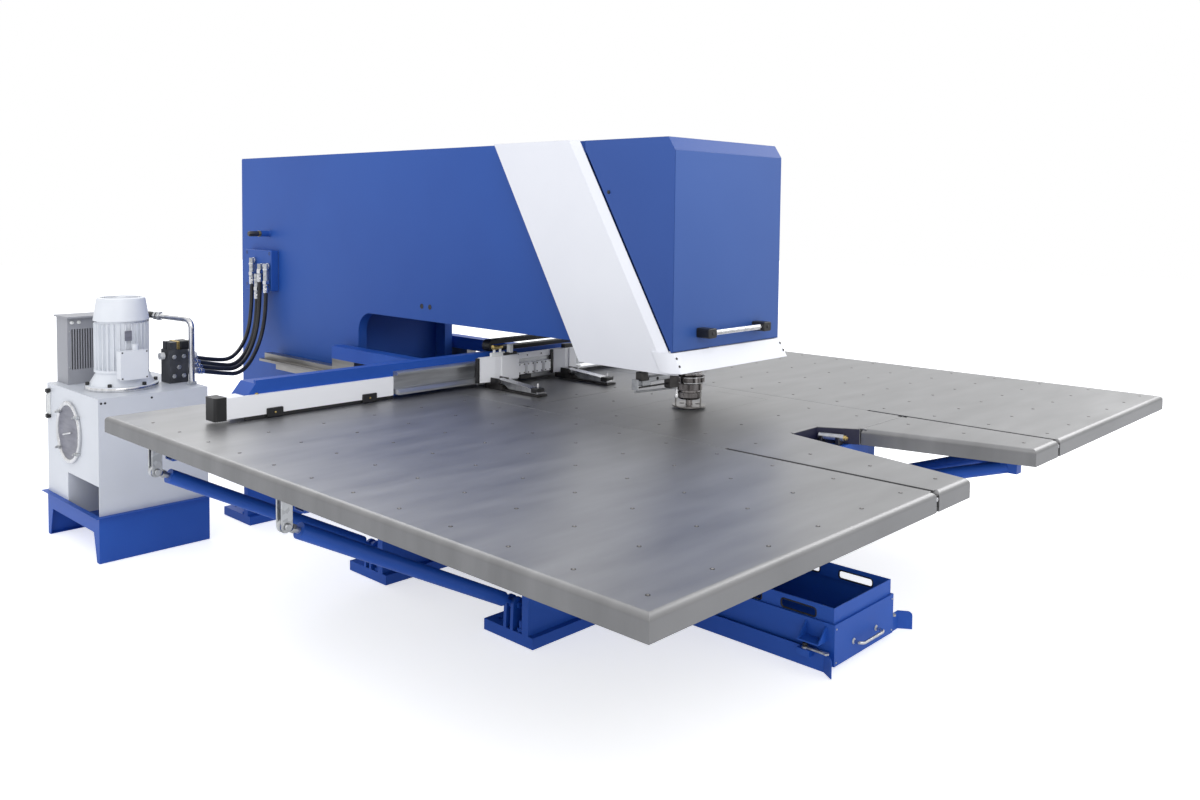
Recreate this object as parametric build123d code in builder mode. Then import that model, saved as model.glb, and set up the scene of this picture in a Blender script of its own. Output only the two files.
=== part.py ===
from build123d import *
from math import atan2, degrees, hypot, pi, radians, tan
import os

os.makedirs("parts", exist_ok=True)

# Frame of the model: floor at Z 0, front of the table at -Y, middle of the machine at X 0.
# A place behind the table's front edge is given as a distance and turned into Y by at_y.

# Overall sizes
frame_rear = 5284
table_height = 930
arm_top = 1285
front_y = -frame_rear / 2
clearance = 0.3

# C frame
frame_half_width = 363
frame_plate = 60
arm_underside = 315
throat_back = 3836
throat_radius = 120
throat_floor_radius = 40
jaw_front = 745
jaw_front_depth = 330
arm_front = 1420
arm_nose_top = 1130
hood_rear = 1906
web_recess = 100
web_plate = 30

# Floor feet
foot_thickness = 50
foot_half_width = 967
foot_length = 320
foot_fronts = [1610, 2684, 4054]
gusset_setback = 30
gusset_thickness = 40
gusset_outer_height = 200
gusset_inner_height = 520
anchor_hole_radius = 14
anchor_inset = 55

# Table
table_half_width = 2100
table_depth = 3231
table_edge = 71
sheet = 6
bend_radius = 20
side_table_inner = 585
centre_half_width = 565
opening_rear = 868
opening_rear_half = 128
opening_front_half = 316
right_arm_rear = 705
right_arm_gap = 5
centre_rear_edge = 2108
rear_table_gap = 6
rib_thickness = 12
rib_x = 330
insert_left = 352
insert_right = 460
insert_front = 1400
insert_rear = 1740
insert_thickness = 12
insert_ledge = 15
insert_gap = 1

# Tooling on the punch axis
punch_y = 1545
die_radius = 60
die_spigot_radius = 40
die_spigot_length = 40
die_fit = 0.05
die_slot_radius = 24
tool_bottom = 45
tool_ring_bottom = 125
ram_radius = 45
ram_fit = 0.05
stripper_radius = 82
stripper_bottom = 9

# Table supports
rail_depth = 80
rail_width = 70
rail_end_inset = 120
rail_wall = 6
bracket_length = 110
bracket_width = 60
bracket_drop = 150
bracket_wall = 12
strut_radius = 31
strut_eye_radius = 22
strut_eye_thickness = 24
strut_pin_radius = 10
clevis_cheek = 18
clevis_pin_height = 105
clevis_width = 90
clevis_nose = 32

# Head
hood_half_width = 415
hood_front = 1317
hood_bottom = 330
hood_chamfer = 39
hood_shoulder = 1222
hood_sheet = 4
slant = 0.593
band_half_width = 440
band_sheet = 4
band_bottom = 232
band_rear = 1868
band_crease = 1325
band_front = 1280
skirt_top_y = 1311
skirt_bottom_y = 1262
skirt_bottom = 240
hinge_radius = 8
cylinder_radius = 185
cylinder_top = 1090
cylinder_flange = 60

# X beam
beam_front = 2712
beam_rear = 2850
beam_bottom = 15
beam_top = 175
beam_half_length = 1700
cover_overhang = 88
cover_half_length = beam_half_length + cover_overhang
cover_inner = 912
cover_front = 2698
cover_bottom = 19
cover_top = 113
end_cap_length = 55
saddle_x = 433
saddle_width = 80
saddle_top = 105
block_front = 3720
block_length = 240
guide_front = 3240
guide_rear = 4800
guide_width = 56
guide_height = 34
guide_shelf_drop = 60
guide_shelf = 16
guide_shelf_reach = 500
guide_shelf_lip = 70
profile_half_length = 905
profile_front = 2672
profile_lip_front = 2660
profile_bottom = 24
profile_top = 138

# Clamp carriage
carriage_left = -416
carriage_right = 290
carriage_front = 2604
carriage_plate_front = 2640
carriage_plate = 16
carriage_plate_bottom = 20
carriage_plate_top = 150
carriage_shoe_xs = [-340, 220]
carriage_shoe_half = 40
clamp_xs = [-330, 190]
clamp_width = 72
clamp_tip = 2235
clamp_pivot_y = 2560
clamp_pivot_z = 44
clamp_lower_thickness = 9
clamp_sheet_gap = 4
clamp_pin_fit = 0.05
clamp_pin_radius = 9

# Scrap drawer
bin_half_width = 250
bin_front = 574
bin_length = 1000
bin_top = -665
bin_bottom = -905
bin_sheet = 4
bin_step = 65
bin_collar_inset = 10
hand_slot_length = 172
hand_slot_height = 38
hand_slot_ys = [755, 1026]
hand_slot_drop = 41
runner_gap = 16
runner_front = 556
runner_bend = 607
runner_flare = 36
runner_right_offset = 96
runner_height = 82
latch_y = 690
latch_length = 100

# Power unit
tank_left = -1845
tank_right = -1245
tank_front = 3990
tank_rear = 4735
tray_height = 250
tank_top = -60
tank_wall = 5
tank_notch_rear = 4430
tank_notch_top = -523
cover_radius = 168
cover_y = 4392
cover_z = -294
motor_x = -1600
motor_y = 4290
motor_radius = 121
motor_rib_radius = 141
motor_bottom = 36
motor_length = 282
cowl_radius = 143
cowl_height = 126
cowl_shoulder = 42
bell_radius = 186
bell_cone_radius = 168
bell_top_radius = 133
bell_flange = 27
cooler_left = -1788
cooler_width = 205
cooler_front = 4560
cooler_depth = 165
cooler_height = 376
cooler_lid = 9
cooler_lid_side = 14
cooler_lid_front = 36
valve_x = -1310
valve_y = 4270
valve_size = 110
valve_height = 190
pipe_radius = 16

# Hoses and their manifold
hose_radius = 13
manifold_front = 4790
manifold_rear = 5140
manifold_bottom = 385
manifold_top = 655
manifold_thickness = 50
fitting_radius = 17
fitting_length = 62


def at_y(behind_front):
    """Y of a place measured back from the front edge of the table."""
    return front_y + behind_front


def at_z(above_table):
    """Z of a place measured up from the table top."""
    return table_height + above_table


def keep(piece, label):
    """Name a finished piece and write it."""
    piece.part.label = label
    export_step(piece.part, f"parts/{label}.step")


def block(x0, x1, y0, y1, z0, z1, mode=Mode.ADD):
    """A square block between two X values, two places behind the front, two heights."""
    with Locations(((x0 + x1) / 2, at_y((y0 + y1) / 2), at_z((z0 + z1) / 2))):
        Box(abs(x1 - x0), abs(y1 - y0), abs(z1 - z0), mode=mode)


def side_plane(x):
    """A sketch plane at X, whose own axes run back (Y) and up (Z)."""
    return Plane(origin=(x, front_y, table_height), x_dir=(0, 1, 0), z_dir=(1, 0, 0))


def front_plane(y):
    """A sketch plane facing back, whose own axes run right (X) and up (Z)."""
    return Plane(origin=(0, at_y(y), table_height), x_dir=(1, 0, 0), z_dir=(0, -1, 0))


def top_plane(z):
    """A level sketch plane whose own axes run right (X) and back from the front edge (Y)."""
    return Plane(origin=(0, front_y, at_z(z)), x_dir=(1, 0, 0), z_dir=(0, 0, 1))


# C frame: two thick side plates with the throat cut out of them
floor_z = -table_height
plate_bottom = floor_z + foot_thickness
plate_outline = [
    (jaw_front, -table_edge),
    (throat_back, -table_edge),
    (throat_back, arm_underside),
    (arm_front, arm_underside),
    (arm_front, arm_nose_top),
    (hood_rear, arm_nose_top),
    (hood_rear, arm_top),
    (frame_rear, arm_top),
    (frame_rear, plate_bottom),
    (foot_fronts[0], plate_bottom),
    (jaw_front, -jaw_front_depth),
]
for side, word in ((-1, "left"), (1, "right")):
    inner = side * (frame_half_width - frame_plate)
    with BuildPart() as frame_side:
        with BuildSketch(side_plane(inner)) as outline:
            Polygon(*plate_outline, align=None)
            throat_corners = outline.vertices().filter_by(lambda v: abs(v.X - throat_back) < 1)
            floor_corner, roof_corner = throat_corners.sort_by(Axis.Y)
            fillet(roof_corner, throat_radius)
            fillet(floor_corner, throat_floor_radius)
        extrude(amount=side * frame_plate)
        frame_edges = frame_side.edges().filter_by(Axis.X).sort_by(Axis.Y)
        fillet(frame_edges[-2:], 12)
    keep(frame_side, f"frame_plate_{word}")

# Webs welded between the side plates: column front, arm underside, top and rear
web_half = frame_half_width - frame_plate
with BuildPart() as frame_web:
    with BuildSketch(side_plane(-web_half)):
        web_path = [
            (throat_back + web_recess, plate_bottom),
            (throat_back + web_recess, arm_underside + web_recess),
            (hood_rear + web_plate, arm_underside + web_recess),
            (hood_rear + web_plate, arm_top - web_plate),
            (frame_rear - web_recess, arm_top - web_plate),
            (frame_rear - web_recess, plate_bottom),
        ]
        Polygon(*web_path, align=None)
        offset(amount=-web_plate, kind=Kind.INTERSECTION, mode=Mode.SUBTRACT)
    extrude(amount=2 * web_half)
keep(frame_web, "frame_web_box")

# Lower jaw between the plates, with the bored seat of the die and a small cylinder on its front
small_cylinder_x = -45
small_cylinder_z = -table_edge - 26
with BuildPart() as jaw:
    block(-web_half, web_half, jaw_front, throat_back, -table_edge - 60, -table_edge)
    block(-web_half, web_half, jaw_front, jaw_front + 40, -jaw_front_depth, -table_edge)
    block(-web_half, web_half, throat_back - 40, throat_back, plate_bottom, -table_edge)
    with Locations((0, at_y(punch_y), at_z(-table_edge - 110))):
        Cylinder(150, 110, align=(Align.CENTER, Align.CENTER, Align.MIN))
    with Locations((0, at_y(punch_y), at_z(-table_edge))):
        Hole(die_spigot_radius + die_fit, depth=die_spigot_length)
    with Locations((0, at_y(punch_y), at_z(-table_edge))):
        Hole(die_slot_radius)
    small_front = jaw_front - 30
    small_left = small_cylinder_x - 26
    small_bottom = small_cylinder_z - 24
    block(small_left, small_left + 52, small_front, jaw_front, small_bottom, small_bottom + 48)
    for radius, length, middle in ((19, 80, small_front - 30), (7, 60, small_front - 90), (13, 22, small_front - 125)):
        with Locations(Location((small_cylinder_x, at_y(middle), at_z(small_cylinder_z)), (90, 0, 0))):
            Cylinder(radius, length)
keep(jaw, "lower_jaw")

# Floor feet: a cross plate under the frame with a gusset up to each side plate
with BuildPart() as feet:
    for foot_front in foot_fronts:
        foot_rear = foot_front + foot_length
        block(-foot_half_width, foot_half_width, foot_front, foot_rear, floor_z, plate_bottom)
        gusset_y = foot_front + gusset_setback
        for side in (-1, 1):
            with BuildSketch(front_plane(gusset_y)):
                Polygon(
                    (side * frame_half_width, plate_bottom),
                    (side * foot_half_width, plate_bottom),
                    (side * foot_half_width, plate_bottom + gusset_outer_height),
                    (side * frame_half_width, plate_bottom + gusset_inner_height),
                    align=None,
                )
            extrude(amount=-gusset_thickness)
            hole_x = side * (foot_half_width - anchor_inset)
            with Locations(
                (hole_x, at_y(foot_rear - anchor_inset), at_z(plate_bottom)),
                (side * (frame_half_width + anchor_inset), at_y(foot_rear - anchor_inset), at_z(plate_bottom)),
            ):
                Hole(anchor_hole_radius, depth=foot_thickness)
keep(feet, "floor_feet")


def folded_tray(tray, outline_points, ribs):
    """A steel table sheet: outline in X and distance, edges folded down, ribs below."""
    with BuildSketch(top_plane(-table_edge)) as plan:
        Polygon(*outline_points, align=None)
    extrude(plan.sketch, amount=table_edge)
    top_face = tray.faces().sort_by(Axis.Z)[-1]
    fillet(top_face.outer_wire().edges(), bend_radius)
    with BuildSketch(top_plane(-table_edge)) as hollow:
        Polygon(*outline_points, align=None)
        offset(amount=-sheet, kind=Kind.INTERSECTION, mode=Mode.REPLACE)
    extrude(hollow.sketch, amount=table_edge - bend_radius, mode=Mode.SUBTRACT)
    with BuildSketch(top_plane(-sheet)) as bend_hollow:
        Polygon(*outline_points, align=None)
        offset(amount=-bend_radius, kind=Kind.INTERSECTION, mode=Mode.REPLACE)
    extrude(bend_hollow.sketch, amount=sheet - bend_radius, mode=Mode.SUBTRACT)
    for x0, x1, y0, y1 in ribs:
        block(x0, x1, y0, y1, -table_edge, -sheet)


# Side tables
side_ribs_y = [foot_front + foot_length / 2 for foot_front in foot_fronts[:2]]
for side, word in ((-1, "left"), (1, "right")):
    table_outline = [
        (side * side_table_inner, 0),
        (side * table_half_width, 0),
        (side * table_half_width, table_depth),
        (side * side_table_inner, table_depth),
    ]
    rib_far = side * (table_half_width - sheet)
    rib_near = side * (side_table_inner + sheet)
    cross_ribs = []
    for rib_y in side_ribs_y:
        cross_ribs.append((rib_near, rib_far, rib_y - rib_thickness / 2, rib_y + rib_thickness / 2))
    with BuildPart() as side_table:
        folded_tray(side_table, table_outline, cross_ribs)
    keep(side_table, f"side_table_{word}")

# Centre table with the left front arm, its flared opening and the insert window
opening_slope = (opening_front_half - opening_rear_half) / opening_rear


def opening_half(behind_front):
    """Half width of the flared front opening at a distance behind the front edge."""
    return opening_rear_half + opening_slope * (opening_rear - behind_front)


centre_front = right_arm_rear + right_arm_gap
centre_outline = [
    (-centre_half_width, 0),
    (-opening_front_half, 0),
    (-opening_rear_half, opening_rear),
    (opening_rear_half / 2, opening_rear),
    (opening_half(centre_front), centre_front),
    (centre_half_width, centre_front),
    (centre_half_width, centre_rear_edge),
    (-centre_half_width, centre_rear_edge),
]
with BuildPart() as centre_table:
    long_ribs = []
    for side in (-1, 1):
        rib_near = side * (rib_x - rib_thickness / 2)
        rib_far = side * (rib_x + rib_thickness / 2)
        long_ribs.append((rib_near, rib_far, opening_rear + 40, insert_front - insert_ledge))
        long_ribs.append((rib_near, rib_far, insert_rear + insert_ledge, centre_rear_edge - sheet))
    folded_tray(centre_table, centre_outline, long_ribs)
    block(-insert_left - 20, insert_right + 20, insert_front - 20, insert_rear + 20, -table_edge, -sheet)
    ledge_left = -insert_left + insert_ledge
    ledge_right = insert_right - insert_ledge
    ledge_front = insert_front + insert_ledge
    block(ledge_left, ledge_right, ledge_front, insert_rear - insert_ledge, -table_edge, 0, Mode.SUBTRACT)
    block(-insert_left, insert_right, insert_front, insert_rear, -insert_thickness, 0, Mode.SUBTRACT)
keep(centre_table, "centre_table")

# Right front arm, a separate folded plate on two braces
arm_outline = [
    (opening_front_half, 0),
    (centre_half_width, 0),
    (centre_half_width, right_arm_rear),
    (opening_half(right_arm_rear), right_arm_rear),
]
with BuildPart() as right_arm:
    folded_tray(right_arm, arm_outline, [])
    block(rib_x, rib_x + rib_thickness, sheet, right_arm_rear - sheet, -table_edge, -sheet)
keep(right_arm, "right_arm")

# Rear centre table
rear_outline = [
    (-centre_half_width, centre_rear_edge + rear_table_gap),
    (centre_half_width, centre_rear_edge + rear_table_gap),
    (centre_half_width, table_depth),
    (-centre_half_width, table_depth),
]
with BuildPart() as rear_table:
    rear_ribs = []
    for side in (-1, 1):
        rib_near = side * (rib_x - rib_thickness / 2)
        rib_far = side * (rib_x + rib_thickness / 2)
        rib_front = centre_rear_edge + rear_table_gap + sheet
        rear_ribs.append((rib_near, rib_far, rib_front, table_depth - sheet))
    folded_tray(rear_table, rear_outline, rear_ribs)
keep(rear_table, "rear_table")

# Die insert plate, level with the table, round the die
with BuildPart() as insert:
    block(
        -insert_left + insert_gap,
        insert_right - insert_gap,
        insert_front + insert_gap,
        insert_rear - insert_gap,
        -insert_thickness,
        0,
    )
    with Locations((0, at_y(punch_y), at_z(0))):
        Hole(die_radius + 1)
keep(insert, "die_insert_plate")

# Die holder that turns with the upper tool
with BuildPart() as die_holder:
    with BuildSketch(side_plane(0)):
        with Locations((punch_y, 0)):
            Polygon(
                (0, -table_edge - die_spigot_length),
                (die_spigot_radius, -table_edge - die_spigot_length),
                (die_spigot_radius, -table_edge),
                (die_radius, -table_edge),
                (die_radius, -4),
                (die_radius - 4, 0),
                (0, 0),
                align=None,
            )
    revolve(axis=Axis((0, at_y(punch_y), 0), (0, 0, 1)))
    with Locations((0, at_y(punch_y), at_z(0))):
        Hole(die_slot_radius - 6)
keep(die_holder, "die_holder")

# Cross rails from the side plates out under the side tables
with BuildPart() as cross_rails:
    for side in (-1, 1):
        rail_outer = side * (table_half_width - rail_end_inset)
        for rib_y in side_ribs_y:
            rail_front = rib_y - rail_width / 2
            rail_rear = rib_y + rail_width / 2
            rail_inner = side * frame_half_width
            rail_bottom = -table_edge - rail_depth
            block(rail_inner, rail_outer, rail_front, rail_rear, rail_bottom, -table_edge)
            block(
                side * (frame_half_width + 10),
                rail_outer,
                rail_front + rail_wall,
                rail_rear - rail_wall,
                rail_bottom + rail_wall,
                -table_edge - rail_wall,
                Mode.SUBTRACT,
            )
keep(cross_rails, "cross_rails")

# Strut geometry, shared by brackets, tubes and clevises
strut_top_x = table_half_width - 60
strut_top_z = -table_edge - bracket_drop + 32
strut_foot_x = foot_half_width - 36
strut_foot_z = plate_bottom + clevis_pin_height
strut_run_x = strut_top_x - strut_foot_x
strut_run_z = strut_top_z - strut_foot_z
strut_length = hypot(strut_run_x, strut_run_z)
strut_angle = degrees(atan2(strut_run_z, strut_run_x))

# Galvanised brackets under the outer edges and clevises on the feet
with BuildPart() as mounts:
    for side in (-1, 1):
        for rib_y in side_ribs_y:
            half = bracket_length / 2
            for cheek in (-1, 1):
                cheek_y = rib_y + cheek * half
                with BuildSketch(front_plane(cheek_y)):
                    with Locations((side * strut_top_x, -table_edge - bracket_drop / 2)):
                        Rectangle(bracket_width, bracket_drop)
                extrude(amount=cheek * bracket_wall)
            block(
                side * (strut_top_x - bracket_width / 2),
                side * (strut_top_x + bracket_width / 2),
                rib_y - half,
                rib_y + half,
                -table_edge - bracket_wall,
                -table_edge,
            )
            block(
                side * (strut_top_x - bracket_width / 2),
                side * (strut_top_x - bracket_width / 2 + bracket_wall),
                rib_y - half,
                rib_y + half,
                -table_edge - 90,
                -table_edge,
            )
            with Locations(Location((side * strut_top_x, at_y(rib_y), at_z(strut_top_z)), (90, 0, 0))):
                Cylinder(strut_pin_radius, bracket_length)
            for cheek in (-1, 1):
                inner_y = rib_y + cheek * (strut_eye_thickness / 2 + 1)
                with BuildSketch(front_plane(inner_y)):
                    with Locations((side * strut_foot_x, strut_foot_z)):
                        Circle(clevis_nose)
                    Polygon(
                        (side * (strut_foot_x + clevis_nose), strut_foot_z),
                        (side * (strut_foot_x - clevis_nose), strut_foot_z),
                        (side * (strut_foot_x - clevis_width), plate_bottom),
                        (side * foot_half_width, plate_bottom),
                        align=None,
                    )
                extrude(amount=-cheek * clevis_cheek)
            with Locations(Location((side * (strut_foot_x), at_y(rib_y), at_z(strut_foot_z)), (90, 0, 0))):
                Cylinder(strut_pin_radius, strut_eye_thickness + 2 * clevis_cheek + 20)
keep(mounts, "strut_mounts")

# Strut tubes with an eye at each end, and two braces from the front foot to the right arm
brace_tops = ((402, 140), (500, 280))
brace_radius = 28
brace_foot_y = foot_fronts[0] + gusset_setback
with BuildPart() as struts:
    for side in (-1, 1):
        for rib_y in side_ribs_y:
            along = Vector(side * strut_run_x, 0, strut_run_z).normalized()
            foot = Vector(side * strut_foot_x, at_y(rib_y), at_z(strut_foot_z))
            with BuildSketch(Plane(origin=foot + along * 75, x_dir=(0, 1, 0), z_dir=along)):
                Circle(strut_radius)
            extrude(amount=strut_length - 140)
            for end, inward in ((foot, along), (foot + along * strut_length, along * -1)):
                with BuildSketch(Plane(origin=end, x_dir=(0, 1, 0), z_dir=inward)):
                    Circle(strut_pin_radius)
                extrude(amount=80)
                eye_plane = Plane(origin=end, x_dir=(1, 0, 0), z_dir=(0, 1, 0))
                with BuildSketch(eye_plane):
                    Circle(strut_eye_radius)
                extrude(amount=strut_eye_thickness / 2, both=True)
                with BuildSketch(eye_plane):
                    Circle(strut_pin_radius + 0.5)
                extrude(amount=strut_eye_thickness, both=True, mode=Mode.SUBTRACT)
    for brace_x, top_y in brace_tops:
        lower = Vector(brace_x, at_y(brace_foot_y), at_z(plate_bottom + 300))
        upper = Vector(brace_x, at_y(top_y), at_z(-table_edge - 34))
        rise = (upper - lower).normalized()
        with BuildSketch(Plane(origin=lower - rise * 60, x_dir=(1, 0, 0), z_dir=rise)):
            Circle(brace_radius)
        extrude(amount=(upper - lower).length + 60)
        block(brace_x - 24, brace_x + 24, top_y - 40, top_y + 30, -table_edge - 60, -sheet)
    block(0, table_half_width, brace_foot_y, brace_foot_y + foot_length, plate_bottom, -table_edge - 90, Mode.SUBTRACT)
keep(struts, "table_struts")

# Slanted bands either side of the head
slant_length = hypot(1, slant)
with BuildPart() as bands:
    for side in (-1, 1):
        with BuildSketch(top_plane(band_bottom)):
            Polygon(
                (side * frame_half_width, band_rear + 20),
                (side * band_half_width, band_rear),
                (side * band_half_width, band_crease),
                (side * hood_half_width, band_front),
                (side * (hood_half_width - band_sheet), band_front + 1),
                (side * (band_half_width - band_sheet), band_crease + 3),
                (side * (band_half_width - band_sheet), band_rear - band_sheet),
                (side * frame_half_width, band_rear + 20 - band_sheet),
                align=None,
            )
        extrude(amount=(arm_top - band_bottom) * slant_length, dir=(0, slant, 1))
keep(bands, "head_bands")

# Flared skirt across the front of the head
skirt_half = band_half_width + band_sheet
with BuildPart() as skirt:
    with BuildSketch(side_plane(-skirt_half)):
        Polygon(
            (skirt_top_y, hood_bottom - 3),
            (skirt_bottom_y, skirt_bottom),
            (skirt_bottom_y + band_sheet, skirt_bottom),
            (skirt_top_y + band_sheet, hood_bottom - 3),
            align=None,
        )
    extrude(amount=2 * skirt_half)
    for side in (-1, 1):
        with BuildSketch(side_plane(side * skirt_half)):
            Polygon(
                (skirt_top_y, hood_bottom - 3),
                (skirt_bottom_y, skirt_bottom),
                (skirt_bottom_y + 100, skirt_bottom),
                (skirt_top_y + 100, hood_bottom - 3),
                align=None,
            )
        extrude(amount=-side * band_sheet)
keep(skirt, "head_skirt")

# Lifting hood: front, two sides and a chamfered top in folded sheet
hood_top = arm_top - 4
hood_side_foot = hood_front + 9
hinge_y = 1872
hinge_z = hood_top - hinge_radius
ear_radius = 12
with BuildPart() as hood:
    with BuildSketch(side_plane(-hood_half_width)):
        Polygon(
            (hood_front, hood_bottom),
            (hood_front, hood_shoulder),
            (hood_front + hood_chamfer, hood_top),
            (hinge_y - 8, hood_top),
            (hinge_y - 8, hinge_z - 30),
            (hood_side_foot, hood_bottom),
            align=None,
        )
    extrude(amount=2 * hood_half_width)
    with BuildSketch(side_plane(-hood_half_width + hood_sheet)):
        Polygon(
            (hood_front + hood_sheet, hood_bottom),
            (hood_front + hood_sheet, hood_shoulder - 2),
            (hood_front + hood_chamfer + 2, hood_top - hood_sheet),
            (hinge_y + 8, hood_top - hood_sheet),
            (hinge_y + 8, hood_bottom),
            align=None,
        )
    extrude(amount=2 * (hood_half_width - hood_sheet), mode=Mode.SUBTRACT)
    for side in (-1, 1):
        block(side * 304, side * 362, hinge_y - 36, hinge_y, hinge_z - 40, hood_top, Mode.SUBTRACT)
        with BuildSketch(side_plane(side * 280)):
            with BuildLine():
                Polyline(
                    (hinge_y - 90, hood_top - hood_sheet),
                    (hinge_y - 90, hood_top - 20),
                    (hinge_y, hinge_z - ear_radius),
                )
                RadiusArc((hinge_y, hinge_z - ear_radius), (hinge_y, hinge_z + ear_radius), -ear_radius)
                Polyline((hinge_y, hinge_z + ear_radius), (hinge_y - 90, hood_top - hood_sheet))
            make_face()
        extrude(amount=side * 20)
        hinge_spot = Location((side * 290, at_y(hinge_y), at_z(hinge_z)), (0, 90, 0))
        with Locations(hinge_spot):
            Cylinder(hinge_radius + die_fit, 40, mode=Mode.SUBTRACT)
keep(hood, "head_hood")

# Hinge blocks on the side plates with the pins of the hood
with BuildPart() as hood_hinges:
    for side in (-1, 1):
        block(side * 310, side * 356, hinge_y - 4, hood_rear, hinge_z - ear_radius, hinge_z + ear_radius)
        with Locations(Location((side * 319, at_y(hinge_y), at_z(hinge_z)), (0, 90, 0))):
            Cylinder(hinge_radius, 74)
keep(hood_hinges, "hood_hinges")

# Handle on the hood: a tube between two blocks
handle_half = 240
handle_y = hood_front - 52
handle_z = hood_bottom + 75
with BuildPart() as hood_handle:
    for side in (-1, 1):
        block(side * (handle_half - 45), side * handle_half, handle_y - 16, hood_front, handle_z - 18, handle_z + 18)
    with Locations(Location((0, at_y(handle_y), at_z(handle_z)), (0, 90, 0))):
        Cylinder(13, 2 * handle_half)
keep(hood_handle, "hood_handle")

# Ram cylinder carried between the side plates
cylinder_bottom = arm_underside + 10
ram_length_inside = 500
ram_top = cylinder_bottom + ram_length_inside
with BuildPart() as ram_cylinder:
    block(-web_half, web_half, arm_front + 10, hood_rear, cylinder_bottom, cylinder_bottom + cylinder_flange)
    with Locations((0, at_y(punch_y), at_z(cylinder_bottom))):
        Cylinder(cylinder_radius, cylinder_top - cylinder_bottom, align=(Align.CENTER, Align.CENTER, Align.MIN))
    with Locations((0, at_y(punch_y), at_z(cylinder_top))):
        Cylinder(cylinder_radius - 50, 40, align=(Align.CENTER, Align.CENTER, Align.MIN))
    with Locations(Location((0, at_y(punch_y), at_z(cylinder_bottom)), (180, 0, 0))):
        Hole(ram_radius + ram_fit, depth=ram_top - cylinder_bottom + 20)
keep(ram_cylinder, "ram_cylinder")

# Ram rod with the punch body at its lower end
stroke = 28
punch_tip_radius = 16
punch_tip_bottom = 12
with BuildPart() as ram:
    with Locations((0, at_y(punch_y), at_z(tool_ring_bottom - 1))):
        Cylinder(ram_radius, ram_top - tool_ring_bottom + 1, align=(Align.CENTER, Align.CENTER, Align.MIN))
keep(ram, "punch_ram")

tool_body_radius = 64
with BuildPart() as tool_body:
    with BuildSketch(side_plane(0)):
        with Locations((punch_y, 0)):
            Polygon(
                (0, punch_tip_bottom),
                (punch_tip_radius, punch_tip_bottom),
                (punch_tip_radius, tool_bottom),
                (tool_body_radius - 14, tool_bottom),
                (tool_body_radius - 4, tool_bottom + 10),
                (tool_body_radius - 4, tool_bottom + 34),
                (tool_body_radius - 10, tool_bottom + 36),
                (tool_body_radius - 10, tool_bottom + 44),
                (tool_body_radius, tool_bottom + 46),
                (tool_body_radius, tool_ring_bottom - 3),
                (tool_body_radius - 2, tool_ring_bottom - 1),
                (0, tool_ring_bottom - 1),
                align=None,
            )
    revolve(axis=Axis((0, at_y(punch_y), 0), (0, 0, 1)))
keep(tool_body, "tool_body")

# Ring that indexes the tool, hung under the cylinder, with the stripper below it
ring_radius = 74
ring_neck = 62
with BuildPart() as index_ring:
    with BuildSketch(side_plane(0)):
        with Locations((punch_y, 0)):
            Polygon(
                (ram_radius + ram_fit, tool_ring_bottom),
                (ring_radius, tool_ring_bottom),
                (ring_radius, tool_ring_bottom + 34),
                (ring_neck, tool_ring_bottom + 38),
                (ring_neck, tool_ring_bottom + 60),
                (ring_radius + 20, tool_ring_bottom + 66),
                (ring_radius + 20, cylinder_bottom - clearance),
                (ram_radius + ram_fit, cylinder_bottom - clearance),
                align=None,
            )
    revolve(axis=Axis((0, at_y(punch_y), 0), (0, 0, 1)))
    with Locations((0, at_y(punch_y), at_z(tool_ring_bottom + 17))):
        with PolarLocations(ring_radius, 20):
            Box(7, 9, 26, mode=Mode.SUBTRACT)
keep(index_ring, "index_ring")

stripper_post_radius = 3.5
stripper_post_circle = ring_radius - stripper_post_radius - 1
with BuildPart() as stripper:
    with Locations((0, at_y(punch_y), at_z(stripper_bottom))):
        Cylinder(stripper_radius, 6, align=(Align.CENTER, Align.CENTER, Align.MIN))
        Cylinder(punch_tip_radius + 2, 20, mode=Mode.SUBTRACT)
    with Locations((0, at_y(punch_y), at_z(stripper_bottom + 6))):
        with PolarLocations(stripper_post_circle, 3, start_angle=30):
            Cylinder(
                stripper_post_radius,
                tool_ring_bottom - stripper_bottom - 6,
                align=(Align.CENTER, Align.CENTER, Align.MIN),
            )
    with Locations((0, at_y(punch_y), at_z(stripper_bottom))):
        with PolarLocations(44, 3, start_angle=90):
            Cylinder(13, 20, mode=Mode.SUBTRACT)
keep(stripper, "stripper_ring")

# Arm beside the tool, hung from the cylinder's flange
arm_drop_x = -250
with BuildPart() as tool_arm:
    block(arm_drop_x - 30, arm_drop_x + 30, punch_y - 20, punch_y + 20, 110, cylinder_bottom)
    with BuildSketch(front_plane(punch_y - 9)):
        Polygon(
            (arm_drop_x - 110, 88),
            (arm_drop_x - 110, 98),
            (arm_drop_x - 30, 128),
            (-ring_radius - 25, 128),
            (-ring_radius - 25, 108),
            (arm_drop_x + 20, 96),
            align=None,
        )
    extrude(amount=-18)
keep(tool_arm, "tool_arm")

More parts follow.
